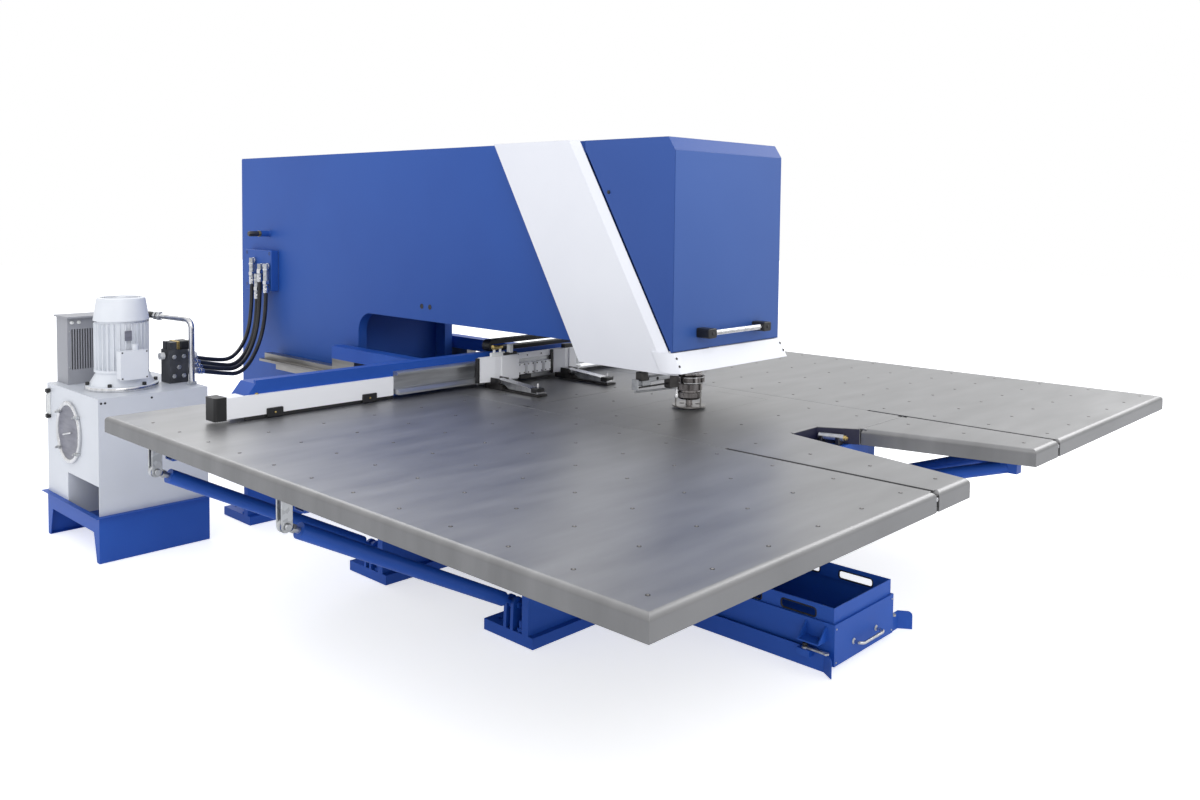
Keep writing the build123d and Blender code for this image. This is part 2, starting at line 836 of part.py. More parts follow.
# X beam: a channel open to the rear, on two saddle arms that reach back to the slide blocks
beam_web = 12
beam_shoulder = 90
beam_end_slant = 56
beam_box_top = beam_top - 15
saddle_bottom = beam_bottom + beam_web
slant_end = beam_half_length - beam_end_slant
beam_inner_end = slant_end - beam_web
with BuildPart() as beam:
    with BuildSketch(front_plane(beam_front)):
        Polygon(
            (-beam_half_length, beam_bottom),
            (beam_half_length, beam_bottom),
            (beam_half_length, beam_shoulder),
            (slant_end, beam_box_top),
            (-slant_end, beam_box_top),
            (-beam_half_length, beam_shoulder),
            align=None,
        )
    extrude(amount=beam_front - beam_rear)
    block(
        -beam_inner_end,
        beam_inner_end,
        beam_front + beam_web,
        beam_rear,
        saddle_bottom,
        beam_box_top - beam_web,
        Mode.SUBTRACT,
    )
    block(-slant_end, slant_end, beam_front, beam_front + 18, beam_box_top, beam_top)
    for side in (-1, 1):
        block(
            side * (saddle_x - saddle_width / 2),
            side * (saddle_x + saddle_width / 2),
            beam_front + beam_web,
            block_front + block_length,
            saddle_bottom,
            saddle_top,
        )
keep(beam, "beam_box")

# Slide blocks under the saddle arms and the rails that they ride on
rail_bottom_z = -guide_shelf_drop
rail_top_z = rail_bottom_z + guide_height
block_half = saddle_width / 2 - 2
with BuildPart() as slide_blocks:
    for side in (-1, 1):
        block(
            side * (saddle_x - block_half),
            side * (saddle_x + block_half),
            block_front,
            block_front + block_length,
            rail_bottom_z + 4,
            saddle_bottom,
        )
        block(
            side * (saddle_x - guide_width / 2 - clearance),
            side * (saddle_x + guide_width / 2 + clearance),
            block_front,
            block_front + block_length,
            rail_bottom_z,
            rail_top_z + clearance,
            Mode.SUBTRACT,
        )
keep(slide_blocks, "slide_blocks")

shelf_bottom = rail_bottom_z - guide_shelf
with BuildPart() as guides:
    for side in (-1, 1):
        inner_x = side * frame_half_width
        block(inner_x, side * guide_shelf_reach, guide_front, guide_rear, shelf_bottom, rail_bottom_z)
        block(inner_x, inner_x + side * guide_shelf, guide_front, guide_rear, shelf_bottom - guide_shelf_lip, shelf_bottom)
        block(
            side * (saddle_x - guide_width / 2),
            side * (saddle_x + guide_width / 2),
            guide_front,
            guide_rear,
            rail_bottom_z,
            rail_top_z,
        )
keep(guides, "guide_rails")

# White covers on the front of the beam and the black caps at their ends
cover_sheet = 3
cover_depth = 80
with BuildPart() as covers:
    for side in (-1, 1):
        cover_end = side * cover_half_length
        box_inner = side * (beam_half_length + cover_sheet)
        box_rear = beam_front + cover_depth - cover_sheet
        low = cover_bottom + cover_sheet
        high = cover_top - cover_sheet
        block(side * cover_inner, cover_end, cover_front, beam_front, cover_bottom, cover_top)
        block(side * beam_half_length, cover_end, beam_front, beam_front + cover_depth, cover_bottom, cover_top)
        sheet_inner = side * (cover_inner + cover_sheet)
        block(sheet_inner, cover_end, cover_front + cover_sheet, beam_front, low, high, Mode.SUBTRACT)
        block(box_inner, cover_end, beam_front, box_rear, low, high, Mode.SUBTRACT)
keep(covers, "beam_covers")

with BuildPart() as end_caps:
    for side in (-1, 1):
        cap_end = side * (cover_half_length + end_cap_length)
        block(side * cover_half_length, cap_end, cover_front, beam_front + cover_depth, cover_bottom - 4, cover_top + 5)
    cap_edges = end_caps.edges().filter_by(Axis.Z)
    fillet(cap_edges.sort_by(Axis.X)[:2] + cap_edges.sort_by(Axis.X)[-2:], 14)
keep(end_caps, "beam_end_caps")

# Guide profile: a back wall with a lip above and below, on which the carriage runs
profile_wall = 6
with BuildPart() as profile:
    with BuildSketch(side_plane(-profile_half_length)):
        Polygon(
            (beam_front, profile_bottom),
            (profile_lip_front, profile_bottom),
            (profile_lip_front, profile_bottom + 10),
            (profile_front, profile_bottom + 26),
            (beam_front - profile_wall, profile_bottom + 26),
            (beam_front - profile_wall, profile_top - 18),
            (profile_front, profile_top - 18),
            (profile_front, profile_top - 6),
            (profile_front + 8, profile_top),
            (beam_front, profile_top),
            align=None,
        )
    extrude(amount=2 * profile_half_length)
keep(profile, "beam_profile")

# Cable chain lying on the beam, doubled back at its left end
chain_left = -212
chain_right = 473
chain_height = 66
chain_gap = 18
chain_width = 58
link_pitch = 33
chain_bend = chain_left + chain_height / 2
with BuildPart() as chain:
    with BuildSketch(front_plane(beam_rear)):
        with Locations(((chain_bend + chain_right) / 2, beam_box_top + chain_height / 2)):
            Rectangle(chain_right - chain_bend, chain_height)
        with Locations((chain_bend, beam_box_top + chain_height / 2)):
            Circle(chain_height / 2)
        with Locations(((chain_bend + chain_right) / 2, beam_box_top + chain_height / 2)):
            Rectangle(chain_right - chain_bend, chain_gap, mode=Mode.SUBTRACT)
        with Locations((chain_bend, beam_box_top + chain_height / 2)):
            Circle(chain_gap / 2, mode=Mode.SUBTRACT)
    extrude(amount=chain_width)
    link_count = int((chain_right - chain_bend) / link_pitch)
    for link in range(1, link_count + 1):
        link_x = chain_bend + link * link_pitch
        chain_top = beam_box_top + chain_height
        block(link_x - 2, link_x + 2, beam_rear - chain_width, beam_rear, chain_top - 4, chain_top, Mode.SUBTRACT)
    bend_axis = Location((chain_bend, at_y(beam_rear - chain_width / 2), at_z(beam_box_top + chain_height / 2)), (90, 0, 0))
    with Locations(bend_axis):
        with PolarLocations(chain_height / 2, 5, start_angle=90, angular_range=180):
            Box(8, 4, chain_width, mode=Mode.SUBTRACT)
keep(chain, "cable_chain")

# Clamp carriage: a plate with shoes inside the profile and boxes on its front
carriage_plate_rear = carriage_plate_front + carriage_plate
profile_slot_bottom = profile_bottom + 26 + clearance
profile_slot_top = profile_top - 18 - clearance
with BuildPart() as carriage:
    block(carriage_left, carriage_right, carriage_plate_front, carriage_plate_rear, carriage_plate_bottom, carriage_plate_top)
    for shoe_x in carriage_shoe_xs:
        block(
            shoe_x - carriage_shoe_half,
            shoe_x + carriage_shoe_half,
            carriage_plate_rear,
            beam_front - 12,
            profile_slot_bottom,
            profile_slot_top,
        )
keep(carriage, "carriage_plate")

box_bottom = 32
box_top = 166
link_bottom = 50
link_top = 110
with BuildPart() as carriage_boxes:
    for left, bend, right in ((carriage_left, -326, -161), (128, 200, carriage_right)):
        with BuildSketch(top_plane(box_bottom)):
            Polygon(
                (left, carriage_plate_front),
                (left, carriage_front + 22),
                (bend, carriage_front),
                (right, carriage_front),
                (right, carriage_plate_front),
                align=None,
            )
        extrude(amount=box_top - box_bottom)
    for link_x in (-125, -60, 5, 70):
        block(link_x - 22, link_x + 22, carriage_front + 8, carriage_plate_front, link_bottom, link_top)
keep(carriage_boxes, "carriage_boxes")

# Sheet clamps: fixed lower jaws and upper jaws that swing on a pin
clamp_half = clamp_width / 2
clamp_lower_top = 2 + clamp_lower_thickness
ear_inner = clamp_half - 8
jaw_half = ear_inner - clearance
with BuildPart() as clamp_bodies:
    for clamp_x in clamp_xs:
        left = clamp_x - clamp_half
        right = clamp_x + clamp_half
        block(left, right, clamp_tip, carriage_plate_front, 2, clamp_lower_top)
        block(left, right, clamp_pivot_y - 60, carriage_plate_front, clamp_lower_top, box_bottom - 2)
        for ear_left in (left, right - 8):
            block(ear_left, ear_left + 8, clamp_pivot_y - 30, clamp_pivot_y + 35, box_bottom - 2, clamp_pivot_z + 16)
        with Locations(Location((clamp_x, at_y(clamp_pivot_y), at_z(clamp_pivot_z)), (0, 90, 0))):
            Cylinder(clamp_pin_radius, clamp_width)
keep(clamp_bodies, "clamp_bodies")

jaw_bottom = clamp_lower_top + clamp_sheet_gap
with BuildPart() as clamp_jaws:
    for clamp_x in clamp_xs:
        with BuildSketch(side_plane(clamp_x - jaw_half)):
            Polygon(
                (clamp_tip + 5, jaw_bottom),
                (clamp_pivot_y - 100, jaw_bottom),
                (clamp_pivot_y - 68, clamp_pivot_z - 10),
                (clamp_pivot_y + 30, clamp_pivot_z - 4),
                (clamp_pivot_y + 30, clamp_pivot_z + 8),
                (clamp_pivot_y, clamp_pivot_z + 14),
                (clamp_tip + 65, clamp_pivot_z - 4),
                (clamp_tip + 5, jaw_bottom + 9),
                align=None,
            )
        extrude(amount=2 * jaw_half)
        with Locations(Location((clamp_x, at_y(clamp_pivot_y), at_z(clamp_pivot_z)), (0, 90, 0))):
            Cylinder(clamp_pin_radius + clamp_pin_fit, clamp_width, mode=Mode.SUBTRACT)
keep(clamp_jaws, "clamp_jaws")

# Scrap drawer: a sheet bin with an inset collar, hand holes and a bracket each side
bin_rear = bin_front + bin_length
bin_shoulder = bin_top - bin_step
bracket_rear = latch_y + 22
bracket_front = latch_y - 78
bracket_reach = 66
bracket_low = -808
bracket_sheet = 6
collar = bin_collar_inset
with BuildPart() as scrap_bin:
    block(-bin_half_width, bin_half_width, bin_front, bin_rear, bin_bottom, bin_shoulder)
    collar_half = bin_half_width - collar
    block(-collar_half, collar_half, bin_front + collar, bin_rear - collar, bin_shoulder, bin_top)
    inner_half = bin_half_width - bin_sheet
    inner_front = bin_front + bin_sheet
    inner_rear = bin_rear - bin_sheet
    ledge_low = bin_shoulder - bin_sheet
    block(-inner_half, inner_half, inner_front, inner_rear, bin_bottom + bin_sheet, ledge_low, Mode.SUBTRACT)
    neck_half = inner_half - collar
    block(-neck_half, neck_half, inner_front + collar, inner_rear - collar, ledge_low, bin_top, Mode.SUBTRACT)
    with BuildSketch(side_plane(-bin_half_width)):
        for slot_y in hand_slot_ys:
            with Locations((slot_y, bin_top - hand_slot_drop)):
                RectangleRounded(hand_slot_length, hand_slot_height, 14)
    extrude(amount=2 * bin_half_width, mode=Mode.SUBTRACT)
    for side in (-1, 1):
        bracket_x = side * (bin_half_width + bracket_reach)
        shelf_top = bracket_low + bracket_sheet
        block(side * bin_half_width, bracket_x, bracket_front, bracket_rear, bracket_low, shelf_top)
        for gusset_y in (bracket_front + bracket_sheet, bracket_rear):
            with BuildSketch(front_plane(gusset_y)):
                Polygon(
                    (side * bin_half_width, bracket_low),
                    (bracket_x, bracket_low),
                    (side * bin_half_width, bin_shoulder - 12),
                    align=None,
                )
            extrude(amount=bracket_sheet)
keep(scrap_bin, "scrap_bin")

bin_handle_half = 95
bin_handle_z = -840
bin_handle_reach = 42
with BuildPart() as bin_handle:
    with BuildLine() as handle_line:
        FilletPolyline(
            (-bin_handle_half, at_y(bin_front), at_z(bin_handle_z)),
            (-bin_handle_half, at_y(bin_front - bin_handle_reach), at_z(bin_handle_z)),
            (bin_handle_half, at_y(bin_front - bin_handle_reach), at_z(bin_handle_z)),
            (bin_handle_half, at_y(bin_front), at_z(bin_handle_z)),
            radius=22,
        )
    with BuildSketch(Plane(origin=handle_line.line @ 0, z_dir=handle_line.line % 0)):
        Circle(7)
    sweep(path=handle_line.line)
keep(bin_handle, "bin_handle")

# Runners of the drawer, opened out at the front, fixed to the front foot
runner_wall = 4
runner_inner = bin_half_width + runner_gap
runner_outer = runner_inner + runner_wall
runner_flange_top = bin_bottom - clearance
runner_flange = 100
latch_z = floor_z + runner_height + 6
latch_pin_radius = 6
latch_thickness = 8
latch_x = runner_outer + 16
latch_block_top = latch_z - latch_thickness / 2 - clearance
with BuildPart() as runners:
    for side in (-1, 1):
        inner_x = side * runner_inner
        outer_x = side * runner_outer
        bend_x = outer_x
        block(inner_x, outer_x, runner_bend, foot_fronts[0], floor_z, floor_z + runner_height)
        if side > 0:
            bend_x = outer_x + runner_right_offset
            block(outer_x, bend_x, runner_bend, runner_bend + runner_wall, floor_z, floor_z + runner_height)
        with BuildSketch(top_plane(floor_z)):
            Polygon(
                (bend_x - side * runner_wall, runner_bend),
                (bend_x - side * runner_wall, runner_bend + runner_wall),
                (bend_x, runner_bend + runner_wall),
                (bend_x + side * runner_flare, runner_front),
                (bend_x + side * (runner_flare - runner_wall), runner_front - 2),
                align=None,
            )
        extrude(amount=runner_height)
        flange_x = side * (runner_inner - runner_flange)
        block(flange_x, inner_x, runner_bend, foot_fronts[0], runner_flange_top - 6, runner_flange_top)
    flare_edges = runners.edges().filter_by_position(Axis.Y, at_y(runner_front) - 3, at_y(runner_front) + 1)
    flare_tops = flare_edges.filter_by_position(Axis.Z, at_z(floor_z + runner_height) - 1, at_z(0))
    fillet(flare_tops, 22)
    for side in (-1, 1):
        block_far = side * (latch_x + 18)
        block(side * runner_outer, block_far, latch_y - 30, latch_y + 30, latch_block_top - 28, latch_block_top)
        with Locations((side * latch_x, at_y(latch_y), at_z(latch_block_top))):
            Cylinder(latch_pin_radius, 18, align=(Align.CENTER, Align.CENTER, Align.MIN))
keep(runners, "drawer_runners")

# Latches lying along the top of the runners, each on an upright pin
for side, word in ((-1, "left"), (1, "right")):
    with BuildPart() as latch:
        with BuildSketch(top_plane(latch_z - latch_thickness / 2)):
            with Locations((side * latch_x, latch_y)):
                Circle(14)
                with Locations((0, -latch_length / 2)):
                    Rectangle(14, latch_length)
                with Locations((0, -latch_length)):
                    Circle(11)
                Circle(latch_pin_radius + die_fit, mode=Mode.SUBTRACT)
        extrude(amount=latch_thickness)
    keep(latch, f"drawer_latch_{word}")

# Power unit: folded base tray with an arch cut in its ends
tray_top = floor_z + tray_height
tray_sheet = 4
with BuildPart() as tray:
    block(tank_left, tank_right, tank_front, tank_rear, floor_z, tray_top)
    block(
        tank_left + tray_sheet,
        tank_right - tray_sheet,
        tank_front + tray_sheet,
        tank_rear - tray_sheet,
        floor_z + tray_sheet,
        tray_top,
        Mode.SUBTRACT,
    )
    with BuildSketch(side_plane(tank_left - 10)):
        Polygon(
            (tank_front + 35, floor_z),
            (tank_front + 75, floor_z + 155),
            (tank_rear - 75, floor_z + 155),
            (tank_rear - 35, floor_z),
            align=None,
        )
    extrude(amount=tank_right - tank_left + 20, mode=Mode.SUBTRACT)
    block(
        tank_left + tray_sheet,
        tank_right - tray_sheet,
        tank_front + tray_sheet,
        tank_rear - tray_sheet,
        floor_z + 160,
        floor_z + 160 + tray_sheet,
    )
    for x0, x1, y0, y1 in (
        (tank_left - 25, tank_right + 25, tank_front - 25, tank_front),
        (tank_left - 25, tank_right + 25, tank_rear, tank_rear + 25),
        (tank_left - 25, tank_left, tank_front, tank_rear),
        (tank_right, tank_right + 25, tank_front, tank_rear),
    ):
        block(x0, x1, y0, y1, tray_top - tray_sheet, tray_top)
keep(tray, "tank_tray")

# Oil tank standing in the tray, open below at the front left
pump_hole_radius = 100
cleaning_hole_radius = cover_radius - 28
tank_base = floor_z + 160 + tray_sheet
with BuildPart() as tank:
    wall_front = tank_front + tray_sheet
    wall_rear = tank_rear - tray_sheet
    wall_left = tank_left + tray_sheet
    wall_right = tank_right - tray_sheet
    block(wall_left, wall_right, wall_front, wall_rear, tank_base, tank_top)
    block(
        wall_left,
        wall_right - tank_wall,
        wall_front + tank_wall,
        tank_notch_rear,
        tank_base,
        tank_notch_top,
        Mode.SUBTRACT,
    )
    block(
        wall_left + tank_wall,
        wall_right - tank_wall,
        wall_front + tank_wall,
        wall_rear - tank_wall,
        tank_notch_top + tank_wall,
        tank_top - tank_wall,
        Mode.SUBTRACT,
    )
    block(
        wall_left + tank_wall,
        wall_right - tank_wall,
        tank_notch_rear + tank_wall,
        wall_rear - tank_wall,
        tank_base + tank_wall,
        tank_notch_top + 2 * tank_wall,
        Mode.SUBTRACT,
    )
    with Locations((motor_x, at_y(motor_y), at_z(tank_top))):
        Hole(pump_hole_radius, depth=4 * tank_wall)
    with Locations(Location((wall_left, at_y(cover_y), at_z(cover_z)), (0, 90, 0))):
        Cylinder(cleaning_hole_radius, 4 * tank_wall, mode=Mode.SUBTRACT)
keep(tank, "oil_tank")

with BuildPart() as cleaning_cover:
    with Locations(Location((wall_left - 5, at_y(cover_y), at_z(cover_z)), (0, 90, 0))):
        Cylinder(cover_radius, 10)
    with Locations(Location((wall_left - 13, at_y(cover_y), at_z(cover_z)), (0, 90, 0))):
        Cylinder(cover_radius - 40, 6)
    with Locations(Location((wall_left - 8, at_y(cover_y), at_z(cover_z)), (0, 90, 0))):
        with PolarLocations(cover_radius - 14, 6):
            Box(20, 20, 16)
keep(cleaning_cover, "cleaning_cover")

# Pump bell between the tank and the motor: a broad flange under a cone
with BuildPart() as bell:
    with BuildSketch(side_plane(motor_x)):
        with Locations((motor_y, 0)):
            Polygon(
                (pump_hole_radius - 15, tank_top),
                (bell_radius, tank_top),
                (bell_radius, tank_top + bell_flange),
                (bell_cone_radius, tank_top + bell_flange),
                (bell_top_radius, motor_bottom - 8),
                (bell_top_radius, motor_bottom),
                (pump_hole_radius - 15, motor_bottom),
                align=None,
            )
    revolve(axis=Axis((motor_x, at_y(motor_y), 0), (0, 0, 1)))
keep(bell, "pump_bell")

# Electric motor: ribbed body, fan on its shaft and a cowl with slots
motor_top = motor_bottom + motor_length
shaft_radius = 12
fan_gap = 12
fan_height = 40
with BuildPart() as motor:
    with Locations((motor_x, at_y(motor_y), at_z(motor_bottom))):
        Cylinder(motor_radius, motor_length, align=(Align.CENTER, Align.CENTER, Align.MIN))
        Cylinder(motor_rib_radius, 14, align=(Align.CENTER, Align.CENTER, Align.MIN))
    rib_middle = (motor_radius + motor_rib_radius) / 2 - 4
    rib_depth = motor_rib_radius - motor_radius + 8
    rib_height = motor_length - 28
    with Locations((motor_x, at_y(motor_y), at_z(motor_bottom + motor_length / 2))):
        with PolarLocations(rib_middle, 28):
            Box(rib_depth, 5, rib_height)
    terminal_rear = motor_y - motor_rib_radius - 6
    block(motor_x - 55, motor_x + 45, terminal_rear, motor_y - 90, motor_bottom, motor_bottom + 110)
    with Locations((motor_x, at_y(motor_y), at_z(motor_top))):
        Cylinder(shaft_radius, fan_gap + fan_height, align=(Align.CENTER, Align.CENTER, Align.MIN))
keep(motor, "motor_body")

fan_bottom = motor_top + fan_gap
fan_hub_radius = 30
fan_blade_radius = 104
with BuildPart() as fan:
    with Locations((motor_x, at_y(motor_y), at_z(fan_bottom))):
        Cylinder(fan_hub_radius, fan_height, align=(Align.CENTER, Align.CENTER, Align.MIN))
    with Locations((motor_x, at_y(motor_y), at_z(fan_bottom + fan_height / 2))):
        with PolarLocations((fan_hub_radius + fan_blade_radius) / 2 - 2, 8):
            Box(fan_blade_radius - fan_hub_radius + 4, 4, fan_height - 4)
    with Locations((motor_x, at_y(motor_y), at_z(fan_bottom))):
        Cylinder(shaft_radius + die_fit, 3 * fan_height, mode=Mode.SUBTRACT)
keep(fan, "motor_fan")

cowl_sheet = 3
cowl_top = motor_top + cowl_height
with BuildPart() as cowl:
    with BuildSketch(side_plane(motor_x)) as cowl_outline:
        with Locations((motor_y, 0)):
            Polygon(
                (motor_radius - 26, motor_top + cowl_sheet),
                (cowl_radius - cowl_sheet, motor_top + cowl_sheet),
                (cowl_radius - cowl_sheet - 3, cowl_top - cowl_sheet),
                (0, cowl_top - cowl_sheet),
                (0, cowl_top),
                (cowl_radius - 3, cowl_top),
                (cowl_radius, motor_top),
                (motor_radius - 26, motor_top),
                align=None,
            )
        shoulders = cowl_outline.vertices().filter_by(lambda v: v.X > motor_y + motor_radius and v.Y > motor_top + 20)
        inner_shoulder, outer_shoulder = shoulders.sort_by(Axis.Y)
        fillet(inner_shoulder, cowl_shoulder - cowl_sheet)
        fillet(outer_shoulder, cowl_shoulder)
    revolve(axis=Axis((motor_x, at_y(motor_y), 0), (0, 0, 1)))
    with Locations((motor_x, at_y(motor_y), at_z(cowl_top))):
        with PolarLocations(64, 16):
            Box(52, 7, 12, mode=Mode.SUBTRACT)
keep(cowl, "motor_cowl")

# Terminal box on the motor's front, with a cable gland on its top
terminal_left = motor_x - 86
terminal_right = motor_x + 54
terminal_low = 14
terminal_high = 164
terminal_front = terminal_rear - 58
with BuildPart() as terminal_box:
    block(terminal_left, terminal_right, terminal_front, terminal_rear, terminal_low, terminal_high)
    block(
        terminal_left - 4,
        terminal_right + 4,
        terminal_front - 8,
        terminal_front,
        terminal_low - 4,
        terminal_high + 4,
    )
    with Locations((motor_x + 4, at_y(terminal_rear - 26), at_z(terminal_high))):
        Cylinder(17, 34, align=(Align.CENTER, Align.CENTER, Align.MIN))
keep(terminal_box, "terminal_box")

# Oil cooler: a box with an overhanging lid and upright fins on its front
cooler_right = cooler_left + cooler_width
cooler_rear = cooler_front + cooler_depth
cooler_top = tank_top + cooler_height
fin_pitch = 14
fin_gap = 7
fin_count = 12
fin_bottom = tank_top + 83
fin_top = cooler_top - 65
with BuildPart() as cooler:
    block(cooler_left, cooler_right, cooler_front, cooler_rear, tank_top, cooler_top)
    block(
        cooler_left - cooler_lid_side,
        cooler_right + cooler_lid_side,
        cooler_front - cooler_lid_front,
        cooler_rear,
        cooler_top,
        cooler_top + cooler_lid,
    )
    for column in range(fin_count):
        gap_left = cooler_left + 22 + column * fin_pitch
        gap_right = gap_left + fin_gap
        block(gap_left, gap_right, cooler_front, cooler_front + 12, fin_bottom, fin_top, Mode.SUBTRACT)
keep(cooler, "oil_cooler")

# Return pipe from the tank top over to the cooler
pipe_x = -1285
pipe_front = tank_front + 120
pipe_bend_x = -1400
pipe_bend_y = 4450
pipe_end_y = cooler_front + cooler_depth / 2
with BuildPart() as return_pipe:
    with BuildLine() as pipe_line:
        FilletPolyline(
            (pipe_x, at_y(pipe_front), at_z(tank_top)),
            (pipe_x, at_y(pipe_front), at_z(308)),
            (pipe_bend_x, at_y(pipe_bend_y), at_z(322)),
            (pipe_bend_x - 60, at_y(pipe_end_y), at_z(262)),
            (cooler_right, at_y(pipe_end_y), at_z(262)),
            radius=48,
        )
    with BuildSketch(Plane(origin=pipe_line.line @ 0, z_dir=pipe_line.line % 0)):
        Circle(pipe_radius)
    sweep(path=pipe_line.line)
keep(return_pipe, "return_pipe")

# Valve block with two solenoid valves lying across its top, and the relief knob
valve_half = valve_size / 2
valve_top = tank_top + valve_height
solenoid_radius = 21
solenoid_length = 72
with BuildPart() as valves:
    block(valve_x - valve_half, valve_x + valve_half, valve_y - valve_half, valve_y + valve_half, tank_top, valve_top)
    for valve_row_y, valve_row_z in ((valve_y - 27, valve_top + 22), (valve_y + 27, valve_top + 22)):
        row_front = valve_row_y - 22
        row_rear = valve_row_y + 22
        block(valve_x - 48, valve_x + 6, row_front, row_rear, valve_top, valve_row_z + 22)
        with Locations(Location((valve_x + 6, at_y(valve_row_y), at_z(valve_row_z + 1)), (0, 90, 0))):
            Cylinder(solenoid_radius, solenoid_length, align=(Align.CENTER, Align.CENTER, Align.MIN))
    knob_z = valve_top - 35
    with Locations(Location((valve_x - valve_half - 14, at_y(valve_y), at_z(knob_z)), (0, 90, 0))):
        Cylinder(7, 28)
keep(valves, "valve_block")

with BuildPart() as relief_knob:
    with Locations(Location((valve_x - valve_half - 21, at_y(valve_y), at_z(knob_z)), (0, 90, 0))):
        Cylinder(20, 26)
        Cylinder(7 + die_fit, 60, mode=Mode.SUBTRACT)
keep(relief_knob, "relief_knob")

# Hose manifold on the left side plate, and the fittings of the four hoses at both ends
manifold_face = -frame_half_width - manifold_thickness
hose_drop_x = -440
hose_drop_ys = [5006, 4939, 4897, 4817]
elbow_tops = [585, 479, 549, 553]
hose_tops = [469, 370, 488, 418]
elbow_x = -1215
elbow_points = [(4305, 73), (4275, 49), (4245, 25), (4220, 1)]
lead = Vector(0.722, 0.662, -0.2).normalized()
valve_side = valve_x + valve_half
hose_ends = []
for elbow_y, elbow_z in elbow_points:
    hose_ends.append(Vector(elbow_x, at_y(elbow_y), at_z(elbow_z)) + lead * fitting_length)
with BuildPart() as fittings:
    block(manifold_face, -frame_half_width, manifold_front, manifold_rear, manifold_bottom, manifold_top)
    for drop_y, elbow_top, hose_top in zip(hose_drop_ys, elbow_tops, hose_tops):
        with Locations(Location(((manifold_face + hose_drop_x) / 2, at_y(drop_y), at_z(elbow_top)), (0, 90, 0))):
            Cylinder(fitting_radius, manifold_face - hose_drop_x)
        with Locations((hose_drop_x, at_y(drop_y), at_z(hose_top))):
            Cylinder(
                fitting_radius,
                elbow_top - hose_top + fitting_radius,
                align=(Align.CENTER, Align.CENTER, Align.MIN),
            )
    for elbow_y, elbow_z in elbow_points:
        with Locations(Location(((valve_side + elbow_x) / 2, at_y(elbow_y), at_z(elbow_z)), (0, 90, 0))):
            Cylinder(fitting_radius, elbow_x - valve_side)
        corner = Vector(elbow_x, at_y(elbow_y), at_z(elbow_z))
        with Locations(corner):
            Sphere(fitting_radius)
        with BuildSketch(Plane(origin=corner, z_dir=lead)):
            Circle(fitting_radius)
        extrude(amount=fitting_length)
keep(fittings, "hose_fittings")

# Free hoses: straight runs joined by tangent arcs, from the manifold down and over to the valves
hose_bends = [
    ((-440, 5006, 290), (-500, 4955, 70), (-690, 4790, -45)),
    ((-440, 4939, 220), (-500, 4905, 30), (-690, 4745, -85)),
    ((-440, 4897, 262), (-505, 4860, 30), (-690, 4705, -100)),
    ((-440, 4817, 230), (-490, 4825, 10), (-690, 4665, -130)),
]
last_runs = [330, 322, 318, 318]
bend_share = 0.45
for index, bends in enumerate(hose_bends):
    start = Vector(hose_drop_x, at_y(hose_drop_ys[index]), at_z(hose_tops[index]))
    finish = hose_ends[index]
    route = [start]
    for x, y, z in bends:
        route.append(Vector(x, at_y(y), at_z(z)))
    route.append(finish + lead * last_runs[index])
    route.append(finish)
    bend_radii = []
    for before, corner, after in zip(route, route[1:], route[2:]):
        turn = (corner - before).get_angle(after - corner)
        shorter = min((corner - before).length, (after - corner).length)
        bend_radii.append(bend_share * shorter / tan(radians(turn / 2)))
    with BuildPart() as hose:
        with BuildLine() as hose_line:
            FilletPolyline(*route, radius=bend_radii)
        with BuildSketch(Plane(origin=start, z_dir=hose_line.line % 0)):
            Circle(hose_radius)
        sweep(path=hose_line.line)
    hose_length = sum(edge.length for edge in hose_line.edges())
    volume_share = hose.part.volume / (pi * hose_radius**2 * hose_length)
    rounded = [round(radius) for radius in bend_radii]
    print(f"hose_{index + 1} length {hose_length:.0f} radii {rounded} volume share {volume_share:.4f}")
    keep(hose, f"hose_{index + 1}")
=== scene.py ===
# %% [markdown]
# # A sheet metal punch press, dressed in Blender
# The machine arrives as a fixed frame of solid parts in metres, with the floor at Z 0 and the
# operator standing on the -Y side. This lesson gives each part its finish and adds the small
# pieces that a fabricator or a fitter would add last.

import math

import bpy
import numpy as np
from mathutils import Matrix, Vector


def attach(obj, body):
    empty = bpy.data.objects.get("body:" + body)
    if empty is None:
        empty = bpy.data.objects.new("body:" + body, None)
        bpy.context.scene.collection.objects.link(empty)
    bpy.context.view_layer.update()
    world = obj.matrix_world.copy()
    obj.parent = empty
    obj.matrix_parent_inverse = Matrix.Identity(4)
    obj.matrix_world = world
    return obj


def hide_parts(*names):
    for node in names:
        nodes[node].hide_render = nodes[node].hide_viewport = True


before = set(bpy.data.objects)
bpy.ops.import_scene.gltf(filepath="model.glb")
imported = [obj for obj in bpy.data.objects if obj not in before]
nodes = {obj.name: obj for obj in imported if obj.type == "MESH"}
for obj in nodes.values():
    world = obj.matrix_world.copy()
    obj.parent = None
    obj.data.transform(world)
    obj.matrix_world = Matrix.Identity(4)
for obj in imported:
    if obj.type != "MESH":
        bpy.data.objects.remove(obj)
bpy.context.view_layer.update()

# %% [markdown]
# Places on this machine are easiest to name as the fitter would: so many millimetres to the
# right of the middle, so many behind the table's front edge, and so many above the table. The
# hoses and the small pieces are drawn in those millimetres, and two functions turn them into
# metres.

# %% Places in the shop's own terms
FRONT_EDGE = -2.642
TABLE_TOP = 0.930


def place(right, behind, above):
    """Metres from millimetres right of the middle, behind the front edge, above the table."""
    return Vector((right / 1000, FRONT_EDGE + behind / 1000, TABLE_TOP + above / 1000))


def places(points):
    """The same for an array of points, one row each."""
    grid = np.asarray(points, float) / 1000
    return grid + np.array([0.0, FRONT_EDGE, TABLE_TOP])


print("table corner:", [round(v, 3) for v in place(-2100, 0, 0)])

